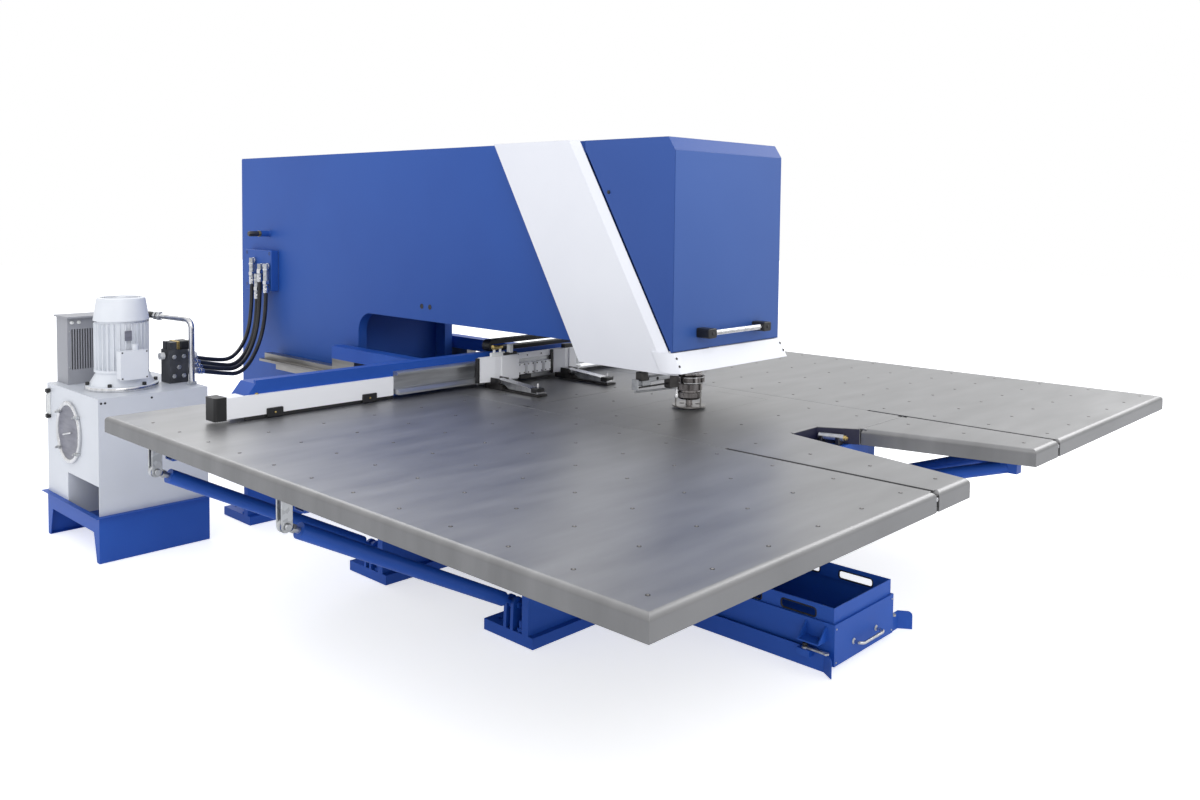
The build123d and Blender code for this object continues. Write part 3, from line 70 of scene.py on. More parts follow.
# %% [markdown]
# The camera stands off the left front corner, a little above eye height, with a slightly wide
# lens. The lens is shifted down so that upright edges stay nearly upright. The camera's turn is
# a matrix whose columns are its own right, up and backward directions.

# %% Camera
CAMERA_SPOT = (-3.918, -4.183, 1.884)
yaw, pitch, roll = math.radians(46.7), math.radians(3.0), math.radians(0.65)
level = math.cos(pitch)
ahead = Vector((math.sin(yaw) * level, math.cos(yaw) * level, -math.sin(pitch)))
right = Vector((math.cos(yaw), -math.sin(yaw), 0))
up = right.cross(ahead)
right_rolled = right * math.cos(roll) + up * math.sin(roll)
up_rolled = up * math.cos(roll) - right * math.sin(roll)

lens = bpy.data.cameras.new("camera")
lens.sensor_width = 36
lens.lens = 30.87
lens.shift_y = -0.1133
lens.clip_end = 60
camera = bpy.data.objects.new("camera", lens)
turn = Matrix((right_rolled, up_rolled, -ahead)).transposed().to_4x4()
camera.matrix_world = Matrix.Translation(CAMERA_SPOT) @ turn
bpy.context.scene.collection.objects.link(camera)
bpy.context.scene.camera = camera
print("camera looks", [round(v, 3) for v in ahead])

# %% [markdown]
# A node tree could be drawn by hand in the Shader editor. In a script, each node is one line if
# a helper adds it and fills its sockets: a plain value is typed in, and the output of another
# node is linked.


# %% Node helpers
def fill(tree, node, sockets):
    """Give a node's input sockets, by name or number, a value or a link from an output."""
    for key, source in sockets.items():
        if isinstance(source, bpy.types.NodeSocket):
            tree.links.new(source, node.inputs[key])
        else:
            node.inputs[key].default_value = source


def add_node(tree, kind, sockets, operation=None):
    """Add a node of a kind to a tree, with its sockets filled."""
    node = tree.nodes.new("ShaderNode" + kind)
    if operation:
        node.operation = operation
    fill(tree, node, sockets)
    return node


# %% [markdown]
# A pale studio: a white world that the camera sees as plain white, and three large soft lamps.
# The world lights the object gently from all round, and the lamps give the sheet metal its
# long, soft reflections. The Light Path node tells rays from the camera, a mirror or through
# glass, which see white, from those that carry light, which see the glow.

# %% World
WHITE = (1, 1, 1, 1)
GLOW = {"Color": (0.86, 0.88, 0.92, 1), "Strength": 1.02}
scene = bpy.context.scene
scene.view_settings.view_transform = "Standard"
world = bpy.data.worlds.new("studio")
scene.world = world
world.use_nodes = True
sky = world.node_tree
sky.nodes.clear()
rays = add_node(sky, "LightPath", {}).outputs
seen = add_node(sky, "Math", {0: rays["Is Camera Ray"], 1: rays["Is Glossy Ray"]}, "MAXIMUM")
seen = add_node(sky, "Math", {0: seen.outputs[0], 1: rays["Is Transmission Ray"]}, "MAXIMUM")
glow = add_node(sky, "Background", GLOW)
white = add_node(sky, "Background", {"Color": WHITE, "Strength": 1.0})
choose = add_node(sky, "MixShader", {0: seen.outputs[0], 1: glow.outputs[0], 2: white.outputs[0]})
add_node(sky, "OutputWorld", {"Surface": choose.outputs[0]})
print("world:", len(sky.nodes), "nodes")

# %% [markdown]
# The lamps are soft boxes of five and six metres: one behind the camera, one to the right of the
# machine and one behind it, all turned to the machine's middle.


# %% Lamps
def soft_lamp(name, spot, aim, size, power):
    """A square area lamp at a spot, turned to shine at a point."""
    data = bpy.data.lights.new(name, "AREA")
    data.shape = "SQUARE"
    data.size = size
    data.energy = power
    lamp = bpy.data.objects.new(name, data)
    lamp.location = spot
    lamp.rotation_euler = (Vector(aim) - Vector(spot)).to_track_quat("-Z", "Y").to_euler()
    bpy.context.scene.collection.objects.link(lamp)


soft_lamp("lamp_front", (-5.0, -6.5, 6.0), (0, 0, 0.8), 5.0, 190)
soft_lamp("lamp_right", (7.5, -3.0, 5.5), (0, 0, 0.8), 5.0, 210)
soft_lamp("lamp_back", (1.0, 7.5, 6.5), (0, 0, 0.9), 6.0, 150)

# %% [markdown]
# The floor is one pale square. Its colour, and not more light, makes it white in the picture:
# where the camera looks at it, it glows a little, so it is nearly white and still keeps the
# machine's soft shadow. A mirror-like surface sees only a fifth of that glow, or else the
# table's edges would shine, and the glow that lights the underside is about half.

# %% Floor
FLOOR_HALF, FLOOR_HEIGHT = 30.0, -0.002
FLOOR_GLOW, MIRROR_SHARE, UNDERSIDE_SHARE = 0.62, 0.2, 0.5
floor_ways = [(-1, -1), (1, -1), (1, 1), (-1, 1)]
floor_corners = [(FLOOR_HALF * x, FLOOR_HALF * y, 0) for x, y in floor_ways]
floor_mesh = bpy.data.meshes.new("floor")
floor_mesh.from_pydata(floor_corners, [], [(0, 1, 2, 3)])
floor = bpy.data.objects.new("floor", floor_mesh)
bpy.context.scene.collection.objects.link(floor)
floor.location.z = FLOOR_HEIGHT
floor_look = bpy.data.materials.new("pale_floor")
floor_look.use_nodes = True
tree = floor_look.node_tree
tree.nodes.clear()
rays = add_node(tree, "LightPath", {}).outputs
mirrored = add_node(tree, "Math", {0: rays["Is Glossy Ray"], 1: MIRROR_SHARE}, "MULTIPLY")
lighting = add_node(tree, "Math", {0: rays["Is Diffuse Ray"], 1: UNDERSIDE_SHARE}, "MULTIPLY")
other = add_node(tree, "Math", {0: mirrored.outputs[0], 1: lighting.outputs[0]}, "MAXIMUM")
share = add_node(tree, "Math", {0: rays["Is Camera Ray"], 1: other.outputs[0]}, "MAXIMUM")
paint = add_node(tree, "BsdfDiffuse", {"Color": (0.9, 0.9, 0.9, 1)})
lit = add_node(tree, "Emission", {"Color": WHITE, "Strength": FLOOR_GLOW})
both = add_node(tree, "AddShader", {0: paint.outputs[0], 1: lit.outputs[0]})
mix = add_node(tree, "MixShader", {0: share.outputs[0], 1: paint.outputs[0], 2: both.outputs[0]})
add_node(tree, "OutputMaterial", {"Surface": mix.outputs[0]})
floor_mesh.materials.append(floor_look)
print("floor:", len(tree.nodes), "nodes")

# %% [markdown]
# Every finish starts from the same few nodes: a colour that drifts a little over the surface, a
# roughness that drifts with it, and a fine bump. What changes from paint to steel to rubber is
# the scale of the drift, its direction and its depth, so one helper makes them all. The Bevel
# node rounds every edge by a millimetre or two where light falls on it, as bent sheet and thick
# paint do, so folds catch the light without one extra face.

# %% Finish helper
RAMP_STOPS = (0.3, 0.7)
TURNED_AWAY, FACING_UP = 0.2, 0.95
BEVEL_SAMPLES = 4
GRAIN_DETAIL = 2.0
COAT_ROUGHNESS = 0.12


def shade(colour):
    """Linear colour from the 0 to 255 values that a screen shows."""
    values = np.array(colour) / 255
    linear = np.where(values <= 0.04045, values / 12.92, ((values + 0.055) / 1.055) ** 2.4)
    return (*linear.tolist(), 1.0)


def finish_of(name, dark, light, rough, stretch=(1, 1, 1), scale=3.0, detail=4.0, grain=None,
              metallic=0.0, coat=0.0, texture="noise", edge=0.0015, shine=0.5, side_shade=1.0):
    """A drifting finish: noise mixes a dark and a light colour and moves the roughness between
    two values. stretch makes the noise run along an axis, as a grinding belt leaves steel. grain
    is the strength, fineness and depth of a second, finer noise that gives the bump. edge is the
    radius that edges seem to have, and shine is how much a plain surface mirrors its
    surroundings. side_shade is a painted shade: it darkens what does not face up."""
    look = bpy.data.materials.new(name)
    look.use_nodes = True
    tree = look.node_tree
    shader = tree.nodes["Principled BSDF"]
    coords = add_node(tree, "TexCoord", {}).outputs
    where = add_node(tree, "Mapping", {"Vector": coords["Object"], "Scale": stretch}).outputs[0]
    if texture == "spangle":
        flakes = add_node(tree, "TexVoronoi", {"Vector": where, "Scale": scale})
        drift = flakes.outputs["Color"]
    else:
        clouds = add_node(tree, "TexNoise", {"Vector": where, "Scale": scale, "Detail": detail})
        drift = clouds.outputs["Fac"]
    ramp = add_node(tree, "ValToRGB", {"Fac": drift})
    for stop, position, colour in zip(ramp.color_ramp.elements, RAMP_STOPS, (dark, light)):
        stop.position = position
        stop.color = shade(colour)
    base = ramp.outputs["Color"]
    # Painted shade: whatever does not face up gets a darker base colour.
    if side_shade < 1:
        facing = add_node(tree, "SeparateXYZ", {"Vector": coords["Normal"]})
        limits = {"From Min": TURNED_AWAY, "From Max": FACING_UP, "To Min": side_shade}
        level = add_node(tree, "MapRange", {"Value": facing.outputs["Z"], **limits})
        darker = add_node(tree, "VectorMath", {0: base, "Scale": level.outputs["Result"]}, "SCALE")
        base = darker.outputs["Vector"]
    gloss = add_node(tree, "MapRange", {"Value": drift, "To Min": rough[0], "To Max": rough[1]})
    fill(tree, shader, {"Base Color": base, "Roughness": gloss.outputs["Result"],
                        "Metallic": metallic, "Specular IOR Level": shine})
    normal = {}
    if edge:
        bevel = add_node(tree, "Bevel", {"Radius": edge})
        bevel.samples = BEVEL_SAMPLES
        normal = {"Normal": bevel.outputs["Normal"]}
    if grain:
        strength, fineness, depth = grain
        pores = {"Vector": where, "Scale": fineness, "Detail": GRAIN_DETAIL}
        height = add_node(tree, "TexNoise", pores).outputs["Fac"]
        lift = {"Height": height, "Strength": strength, "Distance": depth, **normal}
        normal = {"Normal": add_node(tree, "Bump", lift).outputs["Normal"]}
    fill(tree, shader, normal)
    if coat:
        fill(tree, shader, {"Coat Weight": coat, "Coat Roughness": COAT_ROUGHNESS})
    return look


def wear(look, *names):
    """Give a finish to CAD parts by name."""
    for name in names:
        mesh = nodes[name].data
        mesh.materials.clear()
        mesh.materials.append(look)
    print(look.name, "on", len(names), "parts")


# %% [markdown]
# The enamels. The C frame is a mid blue with the faint orange peel of sprayed enamel, the head
# door is a little lighter, and the feet, struts and drawer are a deeper blue. Paint is never
# quite one colour: the spray overlaps, so the drift is large and very faint.

# %% Blue enamels
frame_blue = finish_of("frame_blue", (30, 76, 158), (38, 85, 168), (0.46, 0.54), scale=0.9,
                       grain=(0.12, 260, 0.0004), edge=0.002, shine=0.35)
door_blue = finish_of("door_blue", (44, 80, 154), (53, 89, 163), (0.42, 0.50), scale=0.7,
                      grain=(0.10, 280, 0.0004), edge=0.003, shine=0.35)
deep_blue = finish_of("deep_blue", (26, 76, 166), (34, 86, 178), (0.42, 0.52), scale=1.8,
                      grain=(0.2, 200, 0.0005), shine=0.35)
wear(frame_blue, "frame_plate_left", "frame_plate_right", "frame_web_box")
wear(door_blue, "head_hood")
wear(deep_blue, "lower_jaw", "floor_feet", "cross_rails", "table_struts", "tank_tray",
     "scrap_bin", "drawer_runners", "beam_box")

# %% [markdown]
# The whites: the cold white of the two bands, a brighter copy of it on the beam's covers and
# carriage, which is painted light, the dull white of the tank, and the coarse one of the motor's
# casting, whose bump is deeper. The oil cooler is a plain grey.

# %% White and grey enamels
band_white = finish_of("band_white", (234, 235, 241), (241, 242, 247), (0.38, 0.48), scale=1.2,
                       grain=(0.08, 240, 0.0004), edge=0.002)
# Painted light: the bands' white made brighter, so that the covers and carriage look lit.
lit_cover_white = finish_of("lit_cover_white", (246, 246, 248), (250, 250, 252), (0.36, 0.46), scale=1.2,
                        grain=(0.08, 240, 0.0004), edge=0.002)
tank_white = finish_of("tank_white", (203, 206, 212), (214, 217, 223), (0.36, 0.48), scale=2.0,
                       grain=(0.15, 200, 0.0005), coat=0.1)
motor_grey = finish_of("motor_grey", (222, 225, 230), (233, 235, 239), (0.34, 0.46), scale=4.0,
                       grain=(0.25, 160, 0.0006))
cooler_grey = finish_of("cooler_grey", (146, 147, 153), (160, 161, 167), (0.38, 0.5), scale=3.0,
                        grain=(0.2, 180, 0.0005))
wear(band_white, "head_bands", "head_skirt")
wear(lit_cover_white, "beam_covers", "carriage_boxes")
wear(tank_white, "oil_tank")
wear(motor_grey, "motor_body", "motor_cowl", "pump_bell", "terminal_box")
wear(cooler_grey, "oil_cooler")

# %% [markdown]
# The metals. The table is belt-ground sheet: its colour hardly changes, but its roughness runs
# in long faint streaks, and it is not a clean mirror, so part of its colour is plain grey. What
# does not face up, such as its folded sides, gets a painted shade and is darker. The tool is
# blackened and oiled, and its light and dark streaks, which run up and down, are painted
# reflections.

# %% Steels
table_steel = finish_of("table_steel", (141, 141, 142), (157, 157, 158), (0.34, 0.44),
                        stretch=(1, 4, 1), scale=2.2, detail=5.0, grain=(0.03, 70, 0.0003),
                        metallic=0.75, edge=0.0025, side_shade=0.66)
# Painted reflections: the tool's light and dark upright streaks stand in for a studio mirrored in
# the steel.
tool_steel = finish_of("tool_steel", (56, 52, 52), (178, 173, 172), (0.18, 0.32),
                       stretch=(1, 1, 0.12), scale=34.0, detail=1.0, grain=(0.05, 200, 0.0002),
                       metallic=1.0)
dark_steel = finish_of("dark_steel", (62, 61, 62), (92, 90, 89), (0.3, 0.45), scale=18.0,
                       grain=(0.08, 160, 0.0003), metallic=0.9)
bright_steel = finish_of("bright_steel", (196, 197, 199), (228, 228, 230), (0.14, 0.26),
                         stretch=(1, 1, 0.2), scale=40.0, metallic=1.0)
rail_steel = finish_of("rail_steel", (128, 126, 124), (164, 162, 160), (0.26, 0.38),
                       stretch=(1, 0.1, 1), scale=30.0, metallic=1.0)
wear(table_steel, "side_table_left", "side_table_right", "centre_table", "right_arm",
     "rear_table", "die_insert_plate")
wear(tool_steel, "ram_cylinder", "punch_ram", "tool_body", "index_ring")
wear(dark_steel, "die_holder", "clamp_bodies", "tool_arm")
wear(bright_steel, "bin_handle", "hood_handle", "clamp_jaws", "return_pipe")
wear(rail_steel, "slide_blocks", "guide_rails", "stripper_ring")

# %% [markdown]
# Small hardware is galvanised, with the flat flakes that zinc leaves, and a Voronoi texture
# gives such flakes. The collars are brass, and the beam's profile is drawn aluminium, so its
# streaks run along the beam.

# %% Zinc, brass and aluminium
zinc = finish_of("zinc", (176, 178, 180), (200, 202, 204), (0.32, 0.44), scale=55.0,
                 texture="spangle", metallic=0.9)
brass = finish_of("brass", (168, 142, 84), (206, 182, 118), (0.28, 0.40), scale=30.0,
                  metallic=0.9)
aluminium = finish_of("aluminium", (170, 172, 176), (190, 192, 195), (0.3, 0.4),
                      stretch=(0.1, 1, 1), scale=60.0, metallic=0.8)
wear(zinc, "strut_mounts", "hood_hinges", "drawer_latch_left", "drawer_latch_right",
     "hose_fittings")
wear(aluminium, "beam_profile", "carriage_plate")

# %% [markdown]
# The dark pieces: moulded black plastic with a fine spark-eroded grain, and hose rubber, which
# is duller and a touch dusty. The valve block is cast iron under a thin grey paint. White
# plastic and a dull grey metal are here for the small pieces that come later.

# %% Plastics, rubber and cast iron
black_plastic = finish_of("black_plastic", (20, 20, 22), (34, 34, 36), (0.38, 0.52), scale=8.0,
                          grain=(0.3, 420, 0.0003))
white_plastic = finish_of("white_plastic", (222, 223, 222), (234, 235, 233), (0.25, 0.35),
                          scale=12.0, grain=(0.1, 300, 0.0002))
hose_rubber = finish_of("hose_rubber", (20, 20, 22), (38, 38, 41), (0.38, 0.55), scale=26.0,
                        grain=(0.25, 520, 0.0003), edge=0)
cast_iron = finish_of("cast_iron", (58, 60, 64), (84, 86, 90), (0.4, 0.6), scale=14.0,
                      grain=(0.35, 240, 0.0005), metallic=0.3)
dull_grey = finish_of("dull_grey", (112, 112, 122), (140, 140, 150), (0.34, 0.5),
                      stretch=(1, 1, 5), scale=9.0, metallic=0.4)
wear(black_plastic, "beam_end_caps", "cable_chain", "motor_fan")
wear(white_plastic, "relief_knob")
wear(cast_iron, "valve_block")

# %% [markdown]
# Four pressure hoses run from the manifold on the column down and over to the valve block. Each
# is one smooth spline through a handful of points, hung between its two fittings, with a round
# bevel for its body.

# %% Hoses
HOSE_RADIUS = 0.013
DROP_X, ELBOW_X = -440, -1215
HOSE_WAY = (0.722, 0.662, -0.2)
HOSE_START = 62
drops = [(5006, 469), (4939, 370), (4897, 488), (4817, 418)]
bends = [
    ((-440, 5006, 290), (-500, 4955, 70), (-690, 4790, -45)),
    ((-440, 4939, 220), (-500, 4905, 30), (-690, 4745, -85)),
    ((-440, 4897, 262), (-505, 4860, 30), (-690, 4705, -100)),
    ((-440, 4817, 230), (-490, 4825, 10), (-690, 4665, -130)),
]
elbows = [(4305, 73), (4275, 49), (4245, 25), (4220, 1)]
last_runs = [330, 322, 318, 318]
lead = Vector(HOSE_WAY).normalized()
for index in range(4):
    end = place(ELBOW_X, *elbows[index]) + lead * (HOSE_START / 1000)
    route = [place(DROP_X, *drops[index])]
    route += [place(*spot) for spot in bends[index]]
    route += [end + lead * last_runs[index] / 1000, end]
    line = bpy.data.curves.new(f"pressure_hose_{index + 1}", "CURVE")
    line.dimensions = "3D"
    line.bevel_depth = HOSE_RADIUS
    line.bevel_resolution = 6
    line.resolution_u = 24
    spline = line.splines.new("NURBS")
    spline.points.add(len(route) - 1)
    for point, spot in zip(spline.points, route):
        point.co = (*spot, 1)
    spline.order_u = 3
    spline.use_endpoint_u = True
    hose = bpy.data.objects.new(f"pressure_hose_{index + 1}", line)
    bpy.context.scene.collection.objects.link(hose)
    line.materials.append(hose_rubber)
    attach(hose, "frame")
    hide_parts(f"hose_{index + 1}")
    print("hose", index + 1, "points", len(route))

# %% [markdown]
# The small pieces come next, and nearly all of them are one of three shapes: something turned on
# a lathe, a block with rounded edges, or a round bar carried along a path. Each could be started
# from a primitive and edited by hand. Working them out as arrays of rings is shorter, and it
# gives closed meshes whose faces point outwards. A shape is a triple: its points, the corners of
# all faces in one row, and how many corners each face has.


# %% Rings, and shapes turned on a lathe
def rings_to_shape(rings, loop=False):
    """Rings of points in rows, each ring a closed line with the same count, joined row to row
    by four-sided faces. The first and last ring are closed by one face each, or joined to each
    other when loop is true. Rings run anticlockwise as seen from the last one."""
    rings = np.asarray(rings, float)
    rows, count = rings.shape[:2]
    grid = np.arange(rows * count).reshape(rows, count)
    upper = np.roll(grid, -1, axis=0) if loop else grid[1:]
    lower = grid if loop else grid[:-1]
    next_lower, next_upper = np.roll(lower, -1, 1), np.roll(upper, -1, 1)
    quads = np.stack([lower, next_lower, next_upper, upper], axis=-1).reshape(-1)
    fours = np.full(len(quads) // 4, 4)
    if loop:
        return rings.reshape(-1, 3), quads, fours
    corners = np.concatenate([quads, grid[0, ::-1], grid[-1]])
    return rings.reshape(-1, 3), corners, np.concatenate([fours, [count, count]])


def turned(profile, count=32, loop=False):
    """A lathe shape: each (radius, height) of the profile becomes a ring round the upright axis,
    at radius times the cosine and sine of the angle. loop closes the profile on itself."""
    profile = np.asarray(profile, float)
    angle = np.linspace(0, 2 * np.pi, count, endpoint=False)
    radius, height = profile[:, :1], profile[:, 1:]
    rings = [radius * np.cos(angle), radius * np.sin(angle), height + 0 * angle]
    return rings_to_shape(np.stack(rings, axis=-1), loop)


print("a turned disc has", len(turned([(1, 0), (1, 1)])[2]), "faces")

# %% [markdown]
# A block could be a cube with a Bevel modifier, and a bar could be a curve with a round bevel.
# Here both are rings again, so they join into one mesh with the turned shapes. The bar's path
# lies in one plane, and that plane's normal is the last row of a singular value decomposition.


# %% Blocks and bars
def slab(width, depth, height, corner=3.0, bevel=1.0, steps=4):
    """A block standing on the origin: a rectangle whose corners are quarter circles, repeated at
    four heights, with the first and last drawn in by the bevel. The corner is the larger."""
    angle = np.radians((np.arange(4)[:, None] * 90 + np.linspace(0, 90, steps + 1)).reshape(-1))
    side_x = np.repeat([1, -1, -1, 1], steps + 1) * (width / 2 - corner)
    side_y = np.repeat([1, 1, -1, -1], steps + 1) * (depth / 2 - corner)
    inset = np.array([bevel, 0, 0, bevel])[:, None]
    levels = np.array([0, bevel, height - bevel, height])[:, None]
    radius = corner - inset
    rings = [side_x + radius * np.cos(angle), side_y + radius * np.sin(angle), levels + 0 * angle]
    return rings_to_shape(np.stack(rings, axis=-1))


def bar(path, radius, count=12, closed=False):
    """A round bar along a path that lies in one plane: at each point the ring is drawn with the
    plane's normal and the direction square to it and to the path."""
    path = np.asarray(path, float)
    ahead = np.roll(path, -1, 0) - np.roll(path, 1, 0) if closed else np.gradient(path, axis=0)
    ahead /= np.linalg.norm(ahead, axis=1, keepdims=True)
    middle = path.mean(axis=0)
    flat = np.linalg.svd(path - middle)[2][2]
    across = np.cross(flat, ahead)
    angle = np.linspace(0, 2 * np.pi, count, endpoint=False)[:, None]
    rings = path[:, None] + radius * (across[:, None] * np.cos(angle) + flat * np.sin(angle))
    return rings_to_shape(rings, loop=closed)


def rounded(points):
    """Cut the corners of a path: each run keeps its middle half, three times over, which tends
    to a smooth curve. The two ends stay."""
    points = np.asarray(points, float)
    for _ in range(3):
        first, second = points[:-1], points[1:]
        cut = np.stack([0.75 * first + 0.25 * second, 0.25 * first + 0.75 * second], axis=1)
        points = np.concatenate([points[:1], cut.reshape(-1, 3), points[-1:]])
    return points


print("a block has", len(slab(9, 9, 9)[2]), "faces")

# %% [markdown]
# A shape is drawn upright at the origin, so it has to be laid against the machine: tipped over
# to face left, front or up, and moved. Many copies of one shape, such as screws, are one array
# sum.

# %% Laying shapes in place
LEFT, RIGHT, FRONT, DOWN = (-1, 0, 0), (1, 0, 0), (0, -1, 0), (0, 0, -1)


def laid(shape, spot, along=(0, 0, 1)):
    """Tip a shape so that its height runs along a direction, and move it to a spot. The shape's
    own width stays level."""
    height_way = np.array(along, float) / np.linalg.norm(along)
    hint = np.array([0, 1.0, 0]) if abs(height_way[2]) > 0.95 else np.array([0, 0, 1.0])
    width_way = np.cross(hint, height_way)
    width_way /= np.linalg.norm(width_way)
    depth_way = np.cross(height_way, width_way)
    points, corners, counts = shape
    tipped = points @ np.array([width_way, depth_way, height_way])
    return tipped + np.array(spot, float), corners, counts


def copies(shape, spots):
    """One shape repeated at many spots: the points are a sum of two arrays."""
    points, corners, counts = shape
    spots = np.asarray(spots, float).reshape(-1, 3)
    every = (spots[:, None] + points).reshape(-1, 3)
    shift = np.arange(len(spots))[:, None] * len(points)
    return every, (corners + shift).reshape(-1), np.tile(counts, len(spots))


def across_at(*rights):
    """Moves to the right of the middle, or to the left where they are negative."""
    return [(right, 0, 0) for right in rights]


print("two blocks side by side:", len(copies(slab(9, 9, 9), across_at(-9, 9))[2]), "faces")

# %% [markdown]
# At the end the shapes of one piece become one mesh, which rides on a body of the machine, so
# that it moves with it. Its object stays at the origin and its place is in the mesh, so that the
# finish, which reads Object coordinates, keeps the same scale on every piece.

# %% One mesh for each piece
SOFT_ANGLE = 38


def piece(name, shapes, look, body):
    """Join shapes into one mesh in metres, give it a finish, and let it ride on a body. Edges
    that turn by less than the soft angle are shaded smooth."""
    points = np.concatenate([shape[0] for shape in shapes])
    starts = np.cumsum([0] + [len(shape[0]) for shape in shapes[:-1]])
    corners = np.concatenate([shape[1] + start for shape, start in zip(shapes, starts)])
    counts = np.concatenate([shape[2] for shape in shapes])
    mesh = bpy.data.meshes.new(name)
    mesh.from_pydata(places(points), [], np.split(corners, np.cumsum(counts)[:-1]))
    mesh.polygons.foreach_set("use_smooth", np.ones(len(counts), bool))
    mesh.set_sharp_from_angle(angle=math.radians(SOFT_ANGLE))
    mesh.materials.append(look)
    thing = bpy.data.objects.new(name, mesh)
    bpy.context.scene.collection.objects.link(thing)
    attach(thing, body)
    print(name, "faces:", len(counts))
    return thing


# %% [markdown]
# Screws and nuts turn up everywhere, so each is a function of its radius. A screw's head is a
# dome, and a nut is a lathe shape with only six points round.

# %% Screws and nuts
DOME = [(1.0, 0), (1.0, 0.25), (0.82, 0.55), (0.45, 0.75), (0.1, 0.8)]


def screw(radius):
    """A domed screw head of a given radius."""
    return turned(np.array(DOME) * radius, 12)


def nut(radius, height):
    """A hexagon nut with its corners turned off at both ends."""
    small, low, high = radius * 0.9, height * 0.12, height * 0.88
    return turned([(small, 0), (radius, low), (radius, high), (small, height)], 6)


print("a screw has", len(screw(1)[2]), "faces, a nut", len(nut(1, 1)[2]))

# %% [markdown]
# Steel balls let a heavy sheet roll over the table. Each sits in a pressed cup whose rim stands
# about a millimetre above the table. There are nearly two hundred, so a cup and its ball have
# only a few dozen faces each. They lie in straight rows, but for the places that are cut out.


# %% Ball transfers
def crossings(columns, rows):
    """Every crossing of some columns and rows on the table."""
    across, back = np.meshgrid(columns, rows)
    return np.stack([across.ravel(), back.ravel()], axis=1)


columns = 2003 - 265 * np.arange(6)
rows = 88 + 260 * np.arange(12)
side_spots = crossings(np.concatenate([-columns, columns]), rows)
middle_spots = crossings([-413, -148, 148, 413], rows)
spot_x, spot_y = middle_spots.T
open_front = (np.abs(spot_x) < 316) & (spot_y < 900)
over_insert = (spot_x > -370) & (spot_y > 1370) & (spot_y < 1770)
ball_spots = np.concatenate([side_spots, middle_spots[~(open_front | over_insert)]])
ball_spots = np.column_stack([ball_spots, np.zeros(len(ball_spots))])
cup = turned([(7.5, -1), (7.5, 0.6), (6.6, 0.9), (4.4, 0.4), (4.1, -1.5)], 10)
ball = turned([(4.0, -1.5), (4.0, 0.4), (3.2, 1.5), (1.7, 2.2), (0.4, 2.4)], 8)
piece("ball_cups", [copies(cup, ball_spots)], dark_steel, "frame")
piece("ball_tips", [copies(ball, ball_spots)], rail_steel, "frame")
print("balls:", len(ball_spots))

# %% [markdown]
# The table is bolted together from five sheets. The sheets meet with a hair's gap, and only the
# last stretch of the two long seams, at the front, is left open as a groove. In the solid model
# every fold is a wide curve, so flat strips fill the valleys and leave the seams crisp, and the
# back of the front opening gets the same crisp rim. The walls under that rim get dark navy
# sheets, a painted shade.

# %% Seams and the rim of the opening
SEAM_X = 575
FILL_BASE = -20.2
strip = laid(slab(29, 2320, 20, 1.0, 0.6), (0, 2062, FILL_BASE))
strips = copies(strip, across_at(-591, -559, 559, 591))
lip = laid(slab(20, 878, 20, 1.0, 0.6), (0, 461, FILL_BASE))
lips = copies(lip, across_at(-595, -555, 555, 595))
rear_strip = laid(slab(1126, 22, 20, 1.0, 0.6), (0, 0, FILL_BASE))
rear_seam = copies(rear_strip, [(0, 2098, 0), (0, 2123, 0)])
arm_strip = laid(slab(394, 22, 20, 1.0, 0.6), (368, 0, FILL_BASE))
arm_seam = copies(arm_strip, [(0, 695, 0), (0, 720, 0)])
seam_shapes = [strips, lips, rear_seam, arm_seam]
piece("seam_strips", seam_shapes, table_steel, "frame")
notch_way = np.array([98.0, -158.0, 0]) / 185.9
notch_in = np.array([158.0, 98.0, 0]) / 185.9
slant_rim = np.array([64, 868, -10.2]) + 11 * notch_in
slant_wall = np.array([64, 868, -37]) - 0.8 * notch_in
rims = [laid(slab(22, 20, 190, 1, 0.6), (-127, 879, -10.2), RIGHT),
        laid(slab(22, 20, 186, 1, 0.6), slant_rim, notch_way)]
piece("notch_rims", rims, table_steel, "frame")
# Painted shade: dark navy sheets on the walls of the opening stand in for the shade inside it.
shade_liners = [laid(slab(1.4, 68, 190, 0.5, 0.3), (-127, 867.2, -37), RIGHT),
          laid(slab(1.4, 68, 184, 0.5, 0.3), slant_wall, notch_way)]
notch_painted_shade = finish_of("notch_painted_shade", (9, 10, 40), (14, 15, 50), (0.5, 0.6), scale=6.0,
                       grain=(0.1, 60, 0.001))
piece("notch_shade_liners", shade_liners, notch_painted_shade, "frame")

# %% [markdown]
# Each open groove gets a dark strip at its bottom, a painted shade, and ends at the front in a
# socket bolt with a black plug under it. Four round pads sit in the outer corners of the table's
# folded edge.

# %% Grooves, bolts and pads
# Painted shade: a dark strip lies at the bottom of each open groove.
groove_shade = copies(laid(slab(18, 895, 5, 1.5, 1.0), (0, 451, -16)), across_at(-SEAM_X, SEAM_X))
piece("groove_shade_strips", [groove_shade], dark_steel, "frame")
bolt_line = [(7.5, 0), (7.5, 6), (6.5, 7), (3.5, 7), (3.2, 4), (0.5, 4)]
bolts = copies(laid(turned(bolt_line, 18), (0, 9, -27), FRONT), across_at(-SEAM_X, SEAM_X))
piece("seam_bolts", [bolts], bright_steel, "frame")
plugs = copies(laid(slab(17, 18, 14, 2.5, 1.5), (0, 17, -61), FRONT), across_at(-SEAM_X, SEAM_X))
piece("seam_plugs", [plugs], black_plastic, "frame")
pad = turned([(16, 0), (18, 2), (18, 8), (12, 10)], 20)
pads = copies(pad, [(-2060, 30, -81), (2060, 30, -81), (-2060, 3190, -81), (2060, 3190, -81)])
piece("table_corner_pads", [pads], dark_steel, "frame")

# %% [markdown]
# The thick side plates of the C frame carry a lifting stud each, which is a painted boss with a
# bare steel end and a brass washer. The left plate has two plugged holes above the throat.

